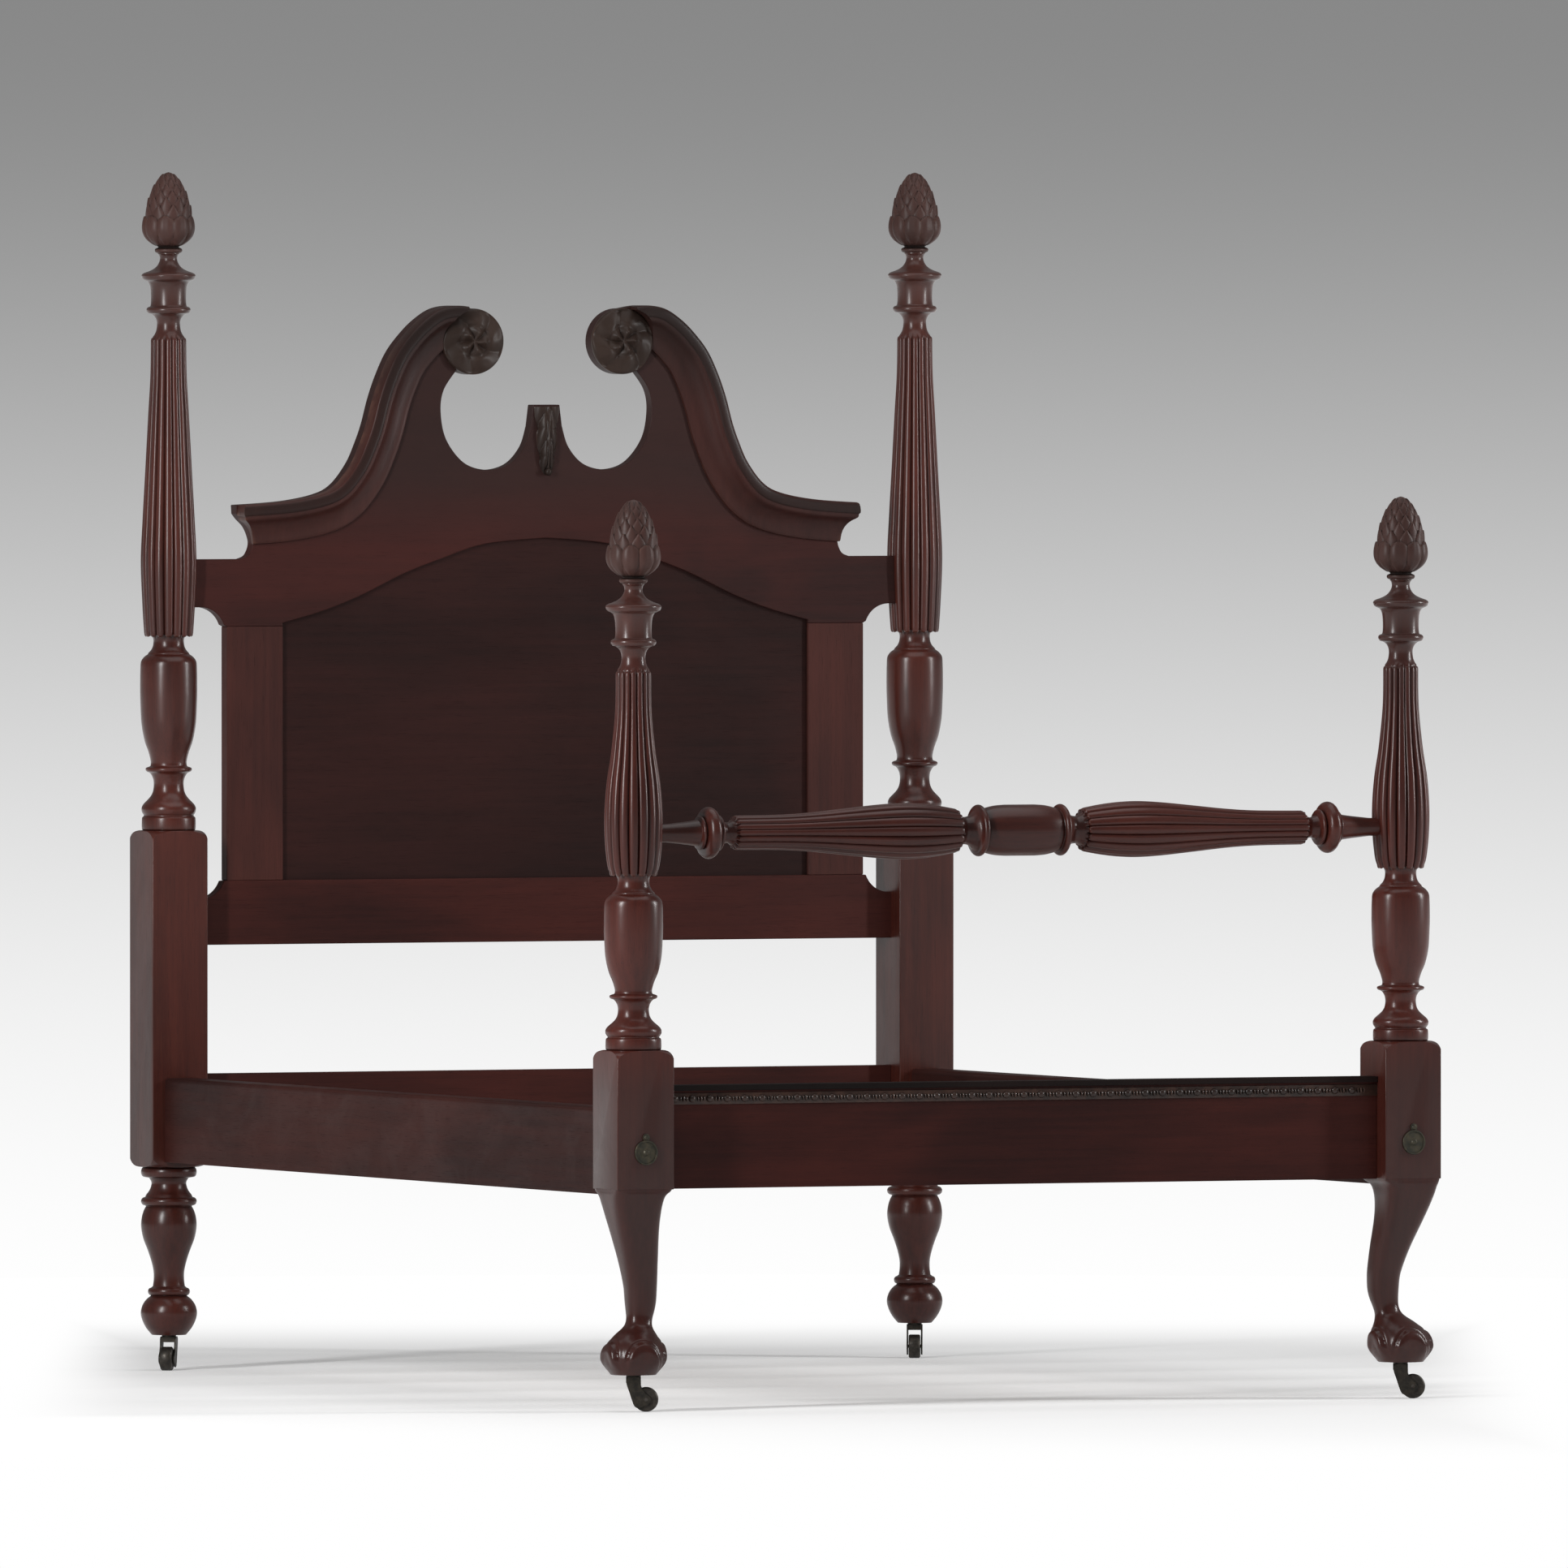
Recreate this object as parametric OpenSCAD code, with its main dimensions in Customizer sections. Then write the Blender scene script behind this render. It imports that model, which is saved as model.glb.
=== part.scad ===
/* [Bed] */
// Clear width between the two posts of one end
inner_w = 1372; // [1300:1:1560]
// Length of a side rail, between the head and foot posts
rail_len = 1982; // [1900:1:2100]
// Width of the square block of each post
post_block = 108; // [100:1:120]
// Height of the head posts with their finials
head_post_h = 2171; // [2100:1:2400]
// Height of the foot posts with their finials
foot_post_h = 1597; // [1540:1:1750]

/* [Head post] */
// Height of the underside of the head post's block
head_block_z = 368; // [355:1:372]
// Height of the top of the head post's block
head_block_top = 977; // [960:1:1000]
// Height of the turned pedestal between block and ring on a head post
head_pedestal_h = 111; // [100:1:120]
// Height of the turned vase on a head post
head_vase_h = 192; // [170:1:200]

/* [Foot post] */
// Height of the underside of the foot post's block, where its leg begins
foot_block_z = 389; // [380:1:395]
// Height of the top of the foot post's block
foot_block_top = 632; // [620:1:650]
// Height of the turned pedestal between block and ring on a foot post
foot_pedestal_h = 94; // [85:1:105]
// Height of the turned vase on a foot post
foot_vase_h = 163; // [150:1:180]
// Width of the claw foot's ball
ball_w = 100; // [92:1:106]
// Width of one talon
talon_w = 20; // [16:1:24]

/* [Headboard] */
// Thickness of the headboard's frame
board_t = 26; // [22:1:34]
// Thickness of the recessed panel
panel_t = 10; // [8:1:12]
// How far the panel lies behind the face of the frame
panel_set_back = 8; // [4:1:10]
// Depth of the groove that holds the panel
groove = 9; // [6:1:12]
// Height of the underside of the headboard
board_z = 769; // [740:1:800]
// Height of the headboard's bottom rail
bottom_rail_h = 116; // [105:1:125]
// Height of the bottom rail's ears, where they meet the posts
lower_ear_h = 84; // [70:1:90]
// Width of a stile
stile_w = 110; // [95:1:125]
// Space between a stile's outer edge and the post's block
stile_gap = 55; // [52:1:70]
// Height of the joint between stiles and crest
crest_z = 1345; // [1325:1:1350]
// Height of the panel's arch above its spring
arch_rise = 152; // [120:1:165]
// Underside of the crest's ears
ear_z = 1380; // [1376:1:1384]
// Height of the crest's ears
ear_h = 87; // [80:1:94]
// Half the span of the pediment, to the tip of its moulding
swan_reach = 613; // [590:1:622]
// Height of the pediment's lower end
swan_end_z = 1565; // [1555:1:1580]
// Distance of a rosette from the middle
rosette_x = 148; // [140:1:160]
// Height of the rosettes' centres
rosette_z = 1860; // [1840:1:1880]
// Diameter of a rosette
rosette_w = 120; // [110:1:124]
// Lowest point of the two scroll openings
opening_z = 1627; // [1610:1:1640]
// Top of the middle plinth
plinth_z = 1745; // [1735:1:1760]
// Width of the middle plinth at its top
plinth_w = 52; // [50:1:60]
// Width of the pediment's moulding
moulding_w = 73; // [60:1:76]
// How far the moulding stands off the board
moulding_t = 34; // [28:1:40]

/* [End rails] */
// Thickness of the head end's lower rail
head_rail_t = 30; // [26:1:40]
// Height of the underside of the head end's lower rail
head_rail_z = 378; // [372:1:390]
// Height of the head end's lower rail
head_rail_h = 158; // [140:1:170]
// Thickness of the foot rail
foot_rail_t = 34; // [28:1:40]
// Height of the foot rail without its cap
foot_rail_h = 171; // [150:1:180]
// Height of the cap strip on the foot rail
cap_h = 10; // [8:1:14]
// How far the cap strip stands proud of the foot rail
cap_over = 5; // [2:1:8]
// Height of the carved bead moulding on the foot rail
bead_h = 22; // [16:1:26]
// How far the bead moulding stands proud of the foot rail
bead_t = 7; // [4:1:9]
// Distance from one carved bead to the next
bead_pitch = 33.5; // [28:0.5:40]
// Height of the blanket rail's axis
blanket_z = 1010; // [980:1:1030]
// Radius of the blanket rail's ends, where the posts hold them
blanket_end_r = 16; // [14:0.5:18]
// Thickness of the end rails' tenons
tenon_t = 14; // [12:1:18]
// Depth of the end rails' tenons in the posts
tenon_d = 38; // [30:1:44]

/* [Side rails] */
// Thickness of a side rail
side_rail_t = 60; // [56:1:66]
// Height of a side rail
side_rail_h = 152; // [148:1:158]
// Height of the bed bolts' axes, halfway up the side rails
bolt_z = 454; // [452:1:458]
// Distance of each peg above and below the bolt
peg_pitch = 43.5; // [40:0.5:48]
// Radius of a peg
peg_r = 8; // [6:0.5:9]
// Length of a peg
peg_len = 60; // [50:1:70]
// Radius of a bed bolt
bolt_r = 4.75; // [4:0.25:6]
// Length of a bed bolt under its head
bolt_len = 165; // [150:1:180]
// Width of the ledger strips that carry the slats
ledger_w = 28; // [24:1:34]
// Number of slats
slat_count = 5; // [3:1:7]
// Width of a slat
slat_w = 90; // [70:1:110]
// Thickness of a slat
slat_t = 19; // [16:1:22]

/* [Bolt covers] */
// Diameter of a brass bolt cover
cover_w = 43.5; // [40:0.5:46]
// Thickness of a bolt cover's plate
cover_t = 2.2; // [1.5:0.1:3]
// Height of the pivot above the cover's centre
pivot_up = 26.5; // [25:0.5:28]
// Radius of the pivot screw
pivot_r = 2; // [1.5:0.25:2.5]

/* [Casters] */
// Diameter of a caster wheel
wheel_w = 43; // [40:1:46]
// Width of a wheel's tread
wheel_t = 21; // [16:1:22]
// Distance of the wheel's axle behind the stem
caster_trail = 22; // [20:1:24]
// Height of the underside of the feet
foot_z = 64; // [64:1:70]
// Radius of a caster stem
stem_r = 5; // [4:0.5:6]
// Length of the stem inside its socket
stem_len = 38; // [30:1:42]
// Radius of a caster axle
axle_r = 3; // [2.5:0.25:3.5]

/* [Hidden] */
$fn = 64;
// Clearance of wood joints, of moving pieces side by side, and of pins in their holes
snug = 0.15;
free = 0.3;
run = 0.05;

post_x = inner_w / 2 + post_block / 2;
post_y = rail_len / 2 + post_block / 2;
ends = [-1, 1];
corners = [[-1, 1], [1, 1], [-1, -1], [1, -1]];
// How far the headboard's ears are let into the posts
housing = 16;
// Widest radius left on the turned work next to the blocks
collar_r = 50;
// Height over which a block's corners are turned away
pommel_h = 24;
// Distance below a post's top of its finial's seat, of its disc, and of its reeds
finial_h = 150;
crown_h = 303;
finial_dowel_r = 8;
finial_dowel_h = 40;
neck_h = 47;

// Radii of the reeded shafts, as [share of the reeds' length, radius]
head_reeds = [[0, 44.5], [0.1, 47.5], [0.25, 50.5], [0.4, 47], [0.55, 42.5], [0.74, 37], [0.87, 33], [1, 32]];
foot_reeds = [[0, 42], [0.06, 46], [0.17, 50], [0.3, 50.8], [0.45, 47], [0.6, 39], [0.8, 32], [1, 31]];
blanket_reeds = [
    [0, 38.5], [0.077, 44], [0.159, 48], [0.25, 49.3], [0.357, 46.8], [0.498, 41], [0.65, 34.5], [0.79, 31],
    [1, 30]
];
// Distance of the blanket rail's reeds from its middle, and from its end
blanket_mid = 122;
blanket_tail = 152;

stile_out = inner_w / 2 - stile_gap;
stile_in = stile_out - stile_w;
panel_z = board_z + bottom_rail_h;
spring_z = crest_z + 6;
rosette_r = rosette_w / 2;
rosette_t = 24;
board_face = post_y - board_t / 2;
ear_reach = inner_w / 2 + housing;
// Radius of the hollows that join stiles and ears
hollow_r = 48;
// Depth and width of the tenons inside the headboard's frame
frame_tenon = 30;
frame_tenon_w = 60;
frame_tenon_t = 9;

foot_rail_top = foot_block_z + foot_rail_h;
foot_rail_face = -post_y - foot_rail_t / 2;
bead_drop = 3;
tenon_shoulder = 20;
end_rail_reach = inner_w / 2 + tenon_d;

side_rail_z = bolt_z - side_rail_h / 2;
side_rail_in = post_x - side_rail_t / 2;
rail_edge_r = 8;
ledger_z = side_rail_z + 10;
ledger_end_gap = 20;
slat_z = ledger_z + ledger_w;
slat_end_gap = 3;
slat_edge_gap = 150;
bolt_hole_r = 6.5;
bolt_head_w = 19;
bolt_head_t = 8;
counterbore_r = 14;
counterbore_d = 16;
nut_w = 19;
nut_t = 9;
// Distance of the nut from the end of the side rail
nut_in = bolt_len - (post_block - counterbore_d) - nut_t - 12;
nut_pocket = 24;
screw_r = 2.5;
screw_len = 45;
screw_head_r = 4.5;
screw_count = 5;

cover_r = cover_w / 2;
cover_ear_r = 6.5;
cover_rim = 3;
cover_rim_t = 1.4;
cover_boss_r = 6;
cover_boss_t = 3;
pivot_head_r = 4.5;
pivot_head_t = 1.8;
pivot_len = 18;
block_face_y = post_y + post_block / 2;

wheel_r = wheel_w / 2;
socket_r = 9;
socket_len = stem_len + 4;
flange_r = 13;
flange_t = 3;
crown_top = foot_z - flange_t - free;
crown_t = 10;
fork_side_t = 3;
fork_in = wheel_t / 2 + 1;
fork_out = fork_in + fork_side_t;
// Direction in which each caster trails, for the head left, head right, foot left and foot right one
trail_angles = [238, 245, -24, -24];

// Stations of the cabriole leg as [share of its height, inner edge, outer edge, squareness]
leg_rows = [
    [0.00, -38, 14, 2.6], [0.10, -42, 8, 2.6], [0.24, -46, 6, 2.4], [0.33, -48, 7, 2.4],
    [0.42, -48.5, 9.5, 2.5], [0.50, -48, 14, 2.6], [0.58, -46, 21, 2.8], [0.66, -43.5, 29, 3],
    [0.74, -41.5, 37, 3.4], [0.82, -40.5, 44.5, 4], [0.90, -41, 50.5, 5], [0.96, -44.5, 53.6, 7],
    [1.00, -54, 54, 12]
];
leg_z = foot_z + 52;
leg_sides = 16;

// Points of a smooth line through p, with a number of steps between two of its points
function between(a, b, c, d, t) =
    (2 * b + (c - a) * t + (2 * a - 5 * b + 4 * c - d) * t * t + (3 * b - a - 3 * c + d) * t * t * t) / 2;
function curve(p, steps = 3) = [
    for (i = [0:len(p) - 2], s = [0:steps - 1])
        between(p[max(i - 1, 0)], p[i], p[i + 1], p[min(i + 2, len(p) - 1)], s / steps),
    p[len(p) - 1]
];
// Half-round moulding on a turning, from z up over a height h, standing out of radius r
function bead(z, h, r, out) = [for (a = [0:30:180]) [r + out * sin(a), z + h * (1 - cos(a)) / 2]];
// The part of a radius list that stands on z and is h high
function stretch(rows, z, h) = [for (row = rows) [row[1], z + row[0] * h]];
// A line moved sideways by d, to its right
function beside(p, d) = [
    for (i = [0:len(p) - 1])
        let (a = p[max(i - 1, 0)], b = p[min(i + 1, len(p) - 1)], t = (b - a) / norm(b - a))
        p[i] + d * [t[1], -t[0]]
];
function reversed(p) = [for (i = [len(p) - 1:-1:0]) p[i]];
// An outline without the points that lie on the point before them
function distinct(p) = [for (i = [0:len(p) - 1]) if (norm(p[i] - p[(i + len(p) - 1) % len(p)]) > 0.5) p[i]];
function arc(c, r, from, to, step = 10) = [
    for (i = [0:ceil(abs(to - from) / step)])
        let (a = from + (to - from) * i / ceil(abs(to - from) / step))
        c + r * [cos(a), sin(a)]
];

// Turned work between a post's block and its reeds
function pedestal_line(z, h) = concat(
    bead(z, 0.21 * h, 46, 4),
    bead(z + 0.25 * h, 0.12 * h, 45.5, 3.3),
    curve([[43, z + 0.41 * h], [34, z + 0.5 * h], [28.5, z + 0.6 * h], [26.8, z + 0.72 * h],
        [28, z + 0.84 * h], [32, z + 0.92 * h]]),
    bead(z + 0.94 * h, 0.11 * h, 33, 7.5)
);
function vase_line(z, h) = concat(
    curve([[31, z + 0.05 * h], [36.5, z + 0.16 * h], [42, z + 0.27 * h], [48, z + 0.43 * h],
        [51, z + 0.62 * h], [51.8, z + 0.8 * h], [50.8, z + 0.94 * h], [48.6, z + h]]),
    curve([[42, z + h + 5], [31, z + h + 10], [27.6, z + h + 22], [28.6, z + h + 34], [34, z + h + neck_h - 3]])
);
// Turned work between a post's reeds and the seat of its finial, for a post of height top
function crown_line(top) = concat(
    curve([[29, top - 301], [23.5, top - 293], [20.8, top - 280], [23, top - 268], [27.5, top - 259.5]]),
    bead(top - 258, 11, 31, 9),
    curve([[32.4, top - 246], [31.7, top - 235], [32, top - 220], [34, top - 208], [37.5, top - 202]]),
    bead(top - 200, 12, 43, 6),
    curve([[38, top - 186], [27, top - 180], [18.8, top - 172], [15.8, top - 162], [17.5, top - 153],
        [20, top - finial_h]])
);
function pineapple_line(top) = concat(
    [[20, top - finial_h]],
    bead(top - 149, 8, 20.5, 4.5),
    [[18.5, top - 140]],
    curve([[24, top - 136], [33, top - 131], [41, top - 123], [46.8, top - 113], [49, top - 102],
        [47.6, top - 91], [43.2, top - 75], [38.4, top - 55], [33.6, top - 37], [27.5, top - 23],
        [18.5, top - 11], [9, top - 3]])
);
// Turned leg of a head post, from the caster up to the block
function turned_leg_line(z, h) = concat(
    curve([[31, z], [41, z + 0.04 * h], [48, z + 0.085 * h], [51, z + 0.13 * h], [48, z + 0.175 * h],
        [41, z + 0.21 * h], [33.5, z + 0.23 * h]]),
    bead(z + 0.235 * h, 0.045 * h, 32.5, 5.5),
    curve([[29, z + 0.29 * h], [27.6, z + 0.33 * h], [28, z + 0.38 * h], [32, z + 0.44 * h],
        [38.5, z + 0.505 * h], [46.5, z + 0.575 * h], [50.3, z + 0.645 * h], [49, z + 0.7 * h],
        [45.5, z + 0.74 * h], [41.5, z + 0.765 * h]]),
    bead(z + 0.77 * h, 0.05 * h, 43, 7.5),
    curve([[41, z + 0.835 * h], [34.5, z + 0.865 * h], [31.5, z + 0.905 * h], [36, z + 0.935 * h]]),
    bead(z + 0.94 * h, 0.06 * h, 45, 5.5)
);
// Half of the blanket rail, from its middle to its end
function blanket_line(reach) = concat(
    [[45, 0]],
    curve([[45, 28], [43.5, 48], [39.5, 66], [37, 72]]),
    bead(73, 12, 38, 7.5),
    curve([[33, 88], [26, 97], [24, 108], [27, 119]]),
    curve(stretch(blanket_reeds, blanket_mid, reach - blanket_mid - blanket_tail)),
    curve([[22, reach - 149], [17.9, reach - 140], [21, reach - 128]]),
    bead(reach - 126, 8, 27, 5),
    bead(reach - 117, 24, 32, 13.5),
    bead(reach - 92, 7, 26, 4),
    curve([[23, reach - 83], [20, reach - 62], [blanket_end_r, reach - housing - 8]]),
    [[blanket_end_r, reach]]
);

// Outer edge of one swan neck, from the top of its rosette to its lower tip
function swan_line() = [
    for (p = curve([[0, 1], [0.08, 1.015], [0.16, 0.998], [0.23, 0.942], [0.29, 0.868], [0.345, 0.777],
            [0.389, 0.66], [0.422, 0.542], [0.45, 0.41], [0.477, 0.315], [0.515, 0.21], [0.58, 0.104],
            [0.656, 0.053], [0.8, 0.018], [1, 0]], 2))
        [rosette_x + p[0] * (swan_reach - rosette_x),
            swan_end_z + p[1] * (rosette_z + rosette_r - swan_end_z)]
];
// Edge of one scroll opening, from the rosette down and up to the plinth
opening_x = rosette_x + rosette_r + 1;
scroll_angle = -60;
function opening_line() = [
    for (p = curve([[0.83, 1.0], [0.967, 0.802], [1, 0.581], [0.94, 0.304], [0.749, 0.072], [0.503, 0],
            [0.262, 0.055], [0.098, 0.227], [0.027, 0.437]]))
        [plinth_w / 2 + p[0] * (opening_x - plinth_w / 2),
            opening_z + p[1] * (rosette_z + rosette_r * sin(scroll_angle) - opening_z)]
];
// Moulded end of the pediment, from the ear's top up to the moulding's tip
function tip_line() = curve([
    [swan_reach - 10, ear_z + ear_h], [swan_reach - 25, ear_z + ear_h + 7],
    [swan_reach - 33, swan_end_z - 72], [swan_reach - 30, swan_end_z - 55],
    [swan_reach - 22, swan_end_z - 39], [swan_reach - 9, swan_end_z - 26],
    [swan_reach - 1, swan_end_z - 16]
]);
// Arch of the panel, from its spring to the middle, grown by g
function arch_line(g) = [
    for (p = curve([[1, 0], [0.858, 0.13], [0.713, 0.31], [0.542, 0.58], [0.4, 0.755], [0.233, 0.93], [0, 1]]))
        [p[0] * (stile_in + g), spring_z + p[1] * arch_rise + g]
];

module both_halves() {
    children();
    mirror([1, 0, 0]) children();
}

module at_post(corner) translate([corner[0] * post_x, corner[1] * post_y, 0]) children();

// Board cut to an outline in the plane of the headboard
module board(from_y, t, outline) {
    translate([0, from_y + t, 0]) rotate([90, 0, 0]) linear_extrude(t) polygon(distinct(outline));
}

module turned(line, z_low, z_high) {
    rotate_extrude() polygon(concat([[0, z_low]], line, [[0, z_high]]));
}

// Square block whose corners are turned away at the top, and at the bottom if asked
module block(z_low, z_high, round_low) {
    corner_r = post_block * 0.72;
    pommel_top = [for (a = [90:-15:0])
        [collar_r + (corner_r - collar_r) * cos(a), z_high - pommel_h + pommel_h * sin(a)]];
    pommel_low = [for (a = [0:-15:-90])
        [collar_r + (corner_r - collar_r) * cos(a), z_low + pommel_h + pommel_h * sin(a)]];
    low_end = round_low ? pommel_low : [[corner_r, z_low]];
    intersection() {
        translate([-post_block / 2, -post_block / 2, z_low]) cube([post_block, post_block, z_high - z_low]);
        rotate_extrude() polygon(concat([[0, z_low]], reversed(low_end), reversed(pommel_top), [[0, z_high]]));
    }
}

// Holes for the bed bolt, its head, the two pegs and the screw of the bolt cover, with the rail at +Y
module side_rail_holes() {
    half = post_block / 2;
    translate([0, half + 1, bolt_z]) rotate([90, 0, 0]) cylinder(r = bolt_hole_r, h = post_block + 2);
    translate([0, counterbore_d - half, bolt_z]) rotate([90, 0, 0])
        cylinder(r = counterbore_r, h = counterbore_d + 1);
    for (side = ends)
        translate([0, half + 1, bolt_z + side * peg_pitch]) rotate([90, 0, 0])
            cylinder(r = peg_r + snug, h = peg_len / 2 + 2);
    translate([0, pivot_len - half, bolt_z + pivot_up]) rotate([90, 0, 0])
        cylinder(r = pivot_r + run, h = pivot_len + 1);
}

module socket_hole() translate([0, 0, foot_z - 1]) cylinder(r = socket_r + snug, h = socket_len + 1.5);

module finial_hole(top) {
    translate([0, 0, top - finial_h - finial_dowel_h - 1])
        cylinder(r = finial_dowel_r + snug, h = finial_dowel_h + 2);
}

// Mortise for a board that comes in from the middle of the bed, at the post side's inner face
module mortise(side, reach, t, z, h) {
    x = side > 0 ? 0 : -reach - snug;
    translate([x, -t / 2 - snug, z - snug]) cube([reach + snug, t + 2 * snug, h + 2 * snug]);
}

// Head post on the side given by -1 for left and 1 for right
module head_post(side) {
    reeds_z = head_block_top + head_pedestal_h + head_vase_h + neck_h;
    vase_z = head_block_top + head_pedestal_h;
    color("#5b2c22") difference() {
        at_post([side, 1]) difference() {
            union() {
                turned(turned_leg_line(foot_z, head_block_z - foot_z), foot_z, head_block_z);
                block(head_block_z, head_block_top, true);
                turned(concat(
                    pedestal_line(head_block_top, head_pedestal_h), vase_line(vase_z, head_vase_h),
                    curve(stretch(head_reeds, reeds_z, head_post_h - crown_h - reeds_z)),
                    crown_line(head_post_h)
                ), head_block_top, head_post_h - finial_h);
            }
            rotate([0, 0, 180]) side_rail_holes();
            socket_hole();
            finial_hole(head_post_h);
        }
        translate([0, post_y, 0]) {
            mortise(side, ear_reach, board_t, board_z, lower_ear_h);
            mortise(side, ear_reach, board_t, ear_z, ear_h);
            mortise(side, end_rail_reach, tenon_t, head_rail_z + tenon_shoulder,
                head_rail_h - 2 * tenon_shoulder);
        }
    }
}

// Cabriole leg that bends to the corner at +X, -Y
module cabriole_leg() {
    leg_h = foot_block_z - leg_z;
    points = [for (row = leg_rows, i = [0:leg_sides - 1])
        let (
            mid = (row[1] + row[2]) / 2, half = (row[2] - row[1]) / 2, a = 360 * i / leg_sides,
            k = half / pow(pow(abs(cos(a)), row[3]) + pow(abs(sin(a)), row[3]), 1 / row[3])
        )
        [mid + k * cos(a), -mid + k * sin(a), leg_z + row[0] * leg_h]];
    last = (len(leg_rows) - 1) * leg_sides;
    walls = [for (r = [0:len(leg_rows) - 2], i = [0:leg_sides - 1])
        let (a = r * leg_sides + i, b = r * leg_sides + (i + 1) % leg_sides)
        [a, a + leg_sides, b + leg_sides, b]];
    ring = [for (i = [0:leg_sides - 1]) i];
    polyhedron(points, concat(walls, [ring, [for (i = reversed(ring)) last + i]]));
}

// Ball that the claw holds, flattened underneath, with four talons over it
module claw_foot() {
    ball_h = 76;
    ball_r = ball_w / 2;
    talon_r = talon_w / 2;
    reach = ball_r - talon_r + 4;
    rotate_extrude() polygon(concat(
        [[0, foot_z]],
        curve([[ball_r * 0.72, foot_z], [ball_r * 0.9, foot_z + 8], [ball_r, foot_z + 26],
            [ball_r * 0.94, foot_z + 44], [ball_r * 0.76, foot_z + 60], [ball_r * 0.4, foot_z + 72]]),
        [[0, foot_z + ball_h]]
    ));
    for (turn = [-45, 45, 135, 225])
        rotate([0, 0, turn]) translate([0, 0, foot_z + 32]) rotate([90, 0, 0]) {
            rotate_extrude(angle = 78, start = -12) translate([reach, 0]) circle(r = talon_r);
            rotate([0, 0, -12]) translate([reach, 0, 0]) sphere(r = talon_r);
            rotate([0, 0, 66]) translate([reach, 0, 0]) sphere(r = talon_r);
        }
}

// Foot post on the side given by -1 for left and 1 for right
module foot_post(side) {
    reeds_z = foot_block_top + foot_pedestal_h + foot_vase_h + neck_h;
    vase_z = foot_block_top + foot_pedestal_h;
    color("#5b2c22") difference() {
        at_post([side, -1]) difference() {
            union() {
                mirror([side > 0 ? 0 : 1, 0, 0]) cabriole_leg();
                claw_foot();
                block(foot_block_z, foot_block_top, false);
                turned(concat(
                    pedestal_line(foot_block_top, foot_pedestal_h), vase_line(vase_z, foot_vase_h),
                    curve(stretch(foot_reeds, reeds_z, foot_post_h - crown_h - reeds_z)),
                    crown_line(foot_post_h)
                ), foot_block_top, foot_post_h - finial_h);
            }
            side_rail_holes();
            socket_hole();
            finial_hole(foot_post_h);
        }
        translate([0, -post_y, 0])
            mortise(side, end_rail_reach, tenon_t, foot_block_z + tenon_shoulder,
                foot_rail_h - 2 * tenon_shoulder);
        translate([side * ear_reach / 2, -post_y, blanket_z]) rotate([0, 90, 0])
            cylinder(r = blanket_end_r + snug, h = ear_reach + 2 * snug, center = true);
    }
}

module finial(corner, top) {
    color("#5b2c22") at_post(corner) {
        turned(pineapple_line(top), top - finial_h, top);
        translate([0, 0, top - finial_h - finial_dowel_h]) cylinder(r = finial_dowel_r, h = finial_dowel_h + 1);
    }
}

// Recess for the panel's tongues, as a slab the size of the panel
module panel_slab(g) {
    low = panel_z - groove - g;
    side = stile_in + groove + g;
    right = concat([[side, low], [side, spring_z]], arch_line(groove + g));
    left = [for (p = reversed(right)) [-p[0], p[1]]];
    board(board_face + panel_set_back - g, panel_t + 2 * g, concat(right, left));
}

// Tenons at both ends of the stiles, or the mortises for them when grown by g
module stile_tenons(g) {
    for (side = ends, z = [panel_z - frame_tenon, crest_z])
        translate([side * (stile_in + stile_out) / 2 - frame_tenon_w / 2 - g,
            post_y - frame_tenon_t / 2 - g, z - g])
            cube([frame_tenon_w + 2 * g, frame_tenon_t + 2 * g, frame_tenon + 2 * g]);
}

// Shaped top board of the headboard, with its two swan necks, openings and ears
module headboard_crest() {
    head = arc([rosette_x, rosette_z], rosette_r, 90, 360 + scroll_angle);
    hollow = arc([inner_w / 2 - 4, ear_z - hollow_r], hollow_r, 160, 90);
    right = concat(
        reversed(arch_line(0)), [[stile_in, crest_z], [stile_out, crest_z]],
        hollow, [[ear_reach, ear_z], [ear_reach, ear_z + ear_h]], tip_line(),
        reversed(swan_line()), head, opening_line(), [[plinth_w / 2, plinth_z]]
    );
    left = [for (p = reversed(right)) [-p[0], p[1]]];
    color("#57281f") difference() {
        board(board_face, board_t, concat(right, left));
        panel_slab(snug);
        stile_tenons(snug);
    }
}

module headboard_stile(side) {
    x = side > 0 ? stile_in : -stile_out;
    color("#57281f") difference() {
        union() {
            translate([x, board_face, panel_z]) cube([stile_w, board_t, crest_z - panel_z]);
            intersection() {
                stile_tenons(0);
                translate([x, board_face, 0]) cube([stile_w, board_t, head_post_h]);
            }
        }
        panel_slab(snug);
    }
}

module headboard_bottom_rail() {
    hollow_z = board_z + lower_ear_h + hollow_r;
    right = concat(
        [[ear_reach, board_z], [ear_reach, board_z + lower_ear_h]],
        arc([inner_w / 2 - 4, hollow_z], hollow_r, 270, 200),
        [[stile_out, panel_z]]
    );
    left = [for (p = reversed(right)) [-p[0], p[1]]];
    color("#57281f") difference() {
        board(board_face, board_t, concat(right, left));
        panel_slab(snug);
        stile_tenons(snug);
    }
}

module headboard_panel() color("#4b221c") panel_slab(0);

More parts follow.
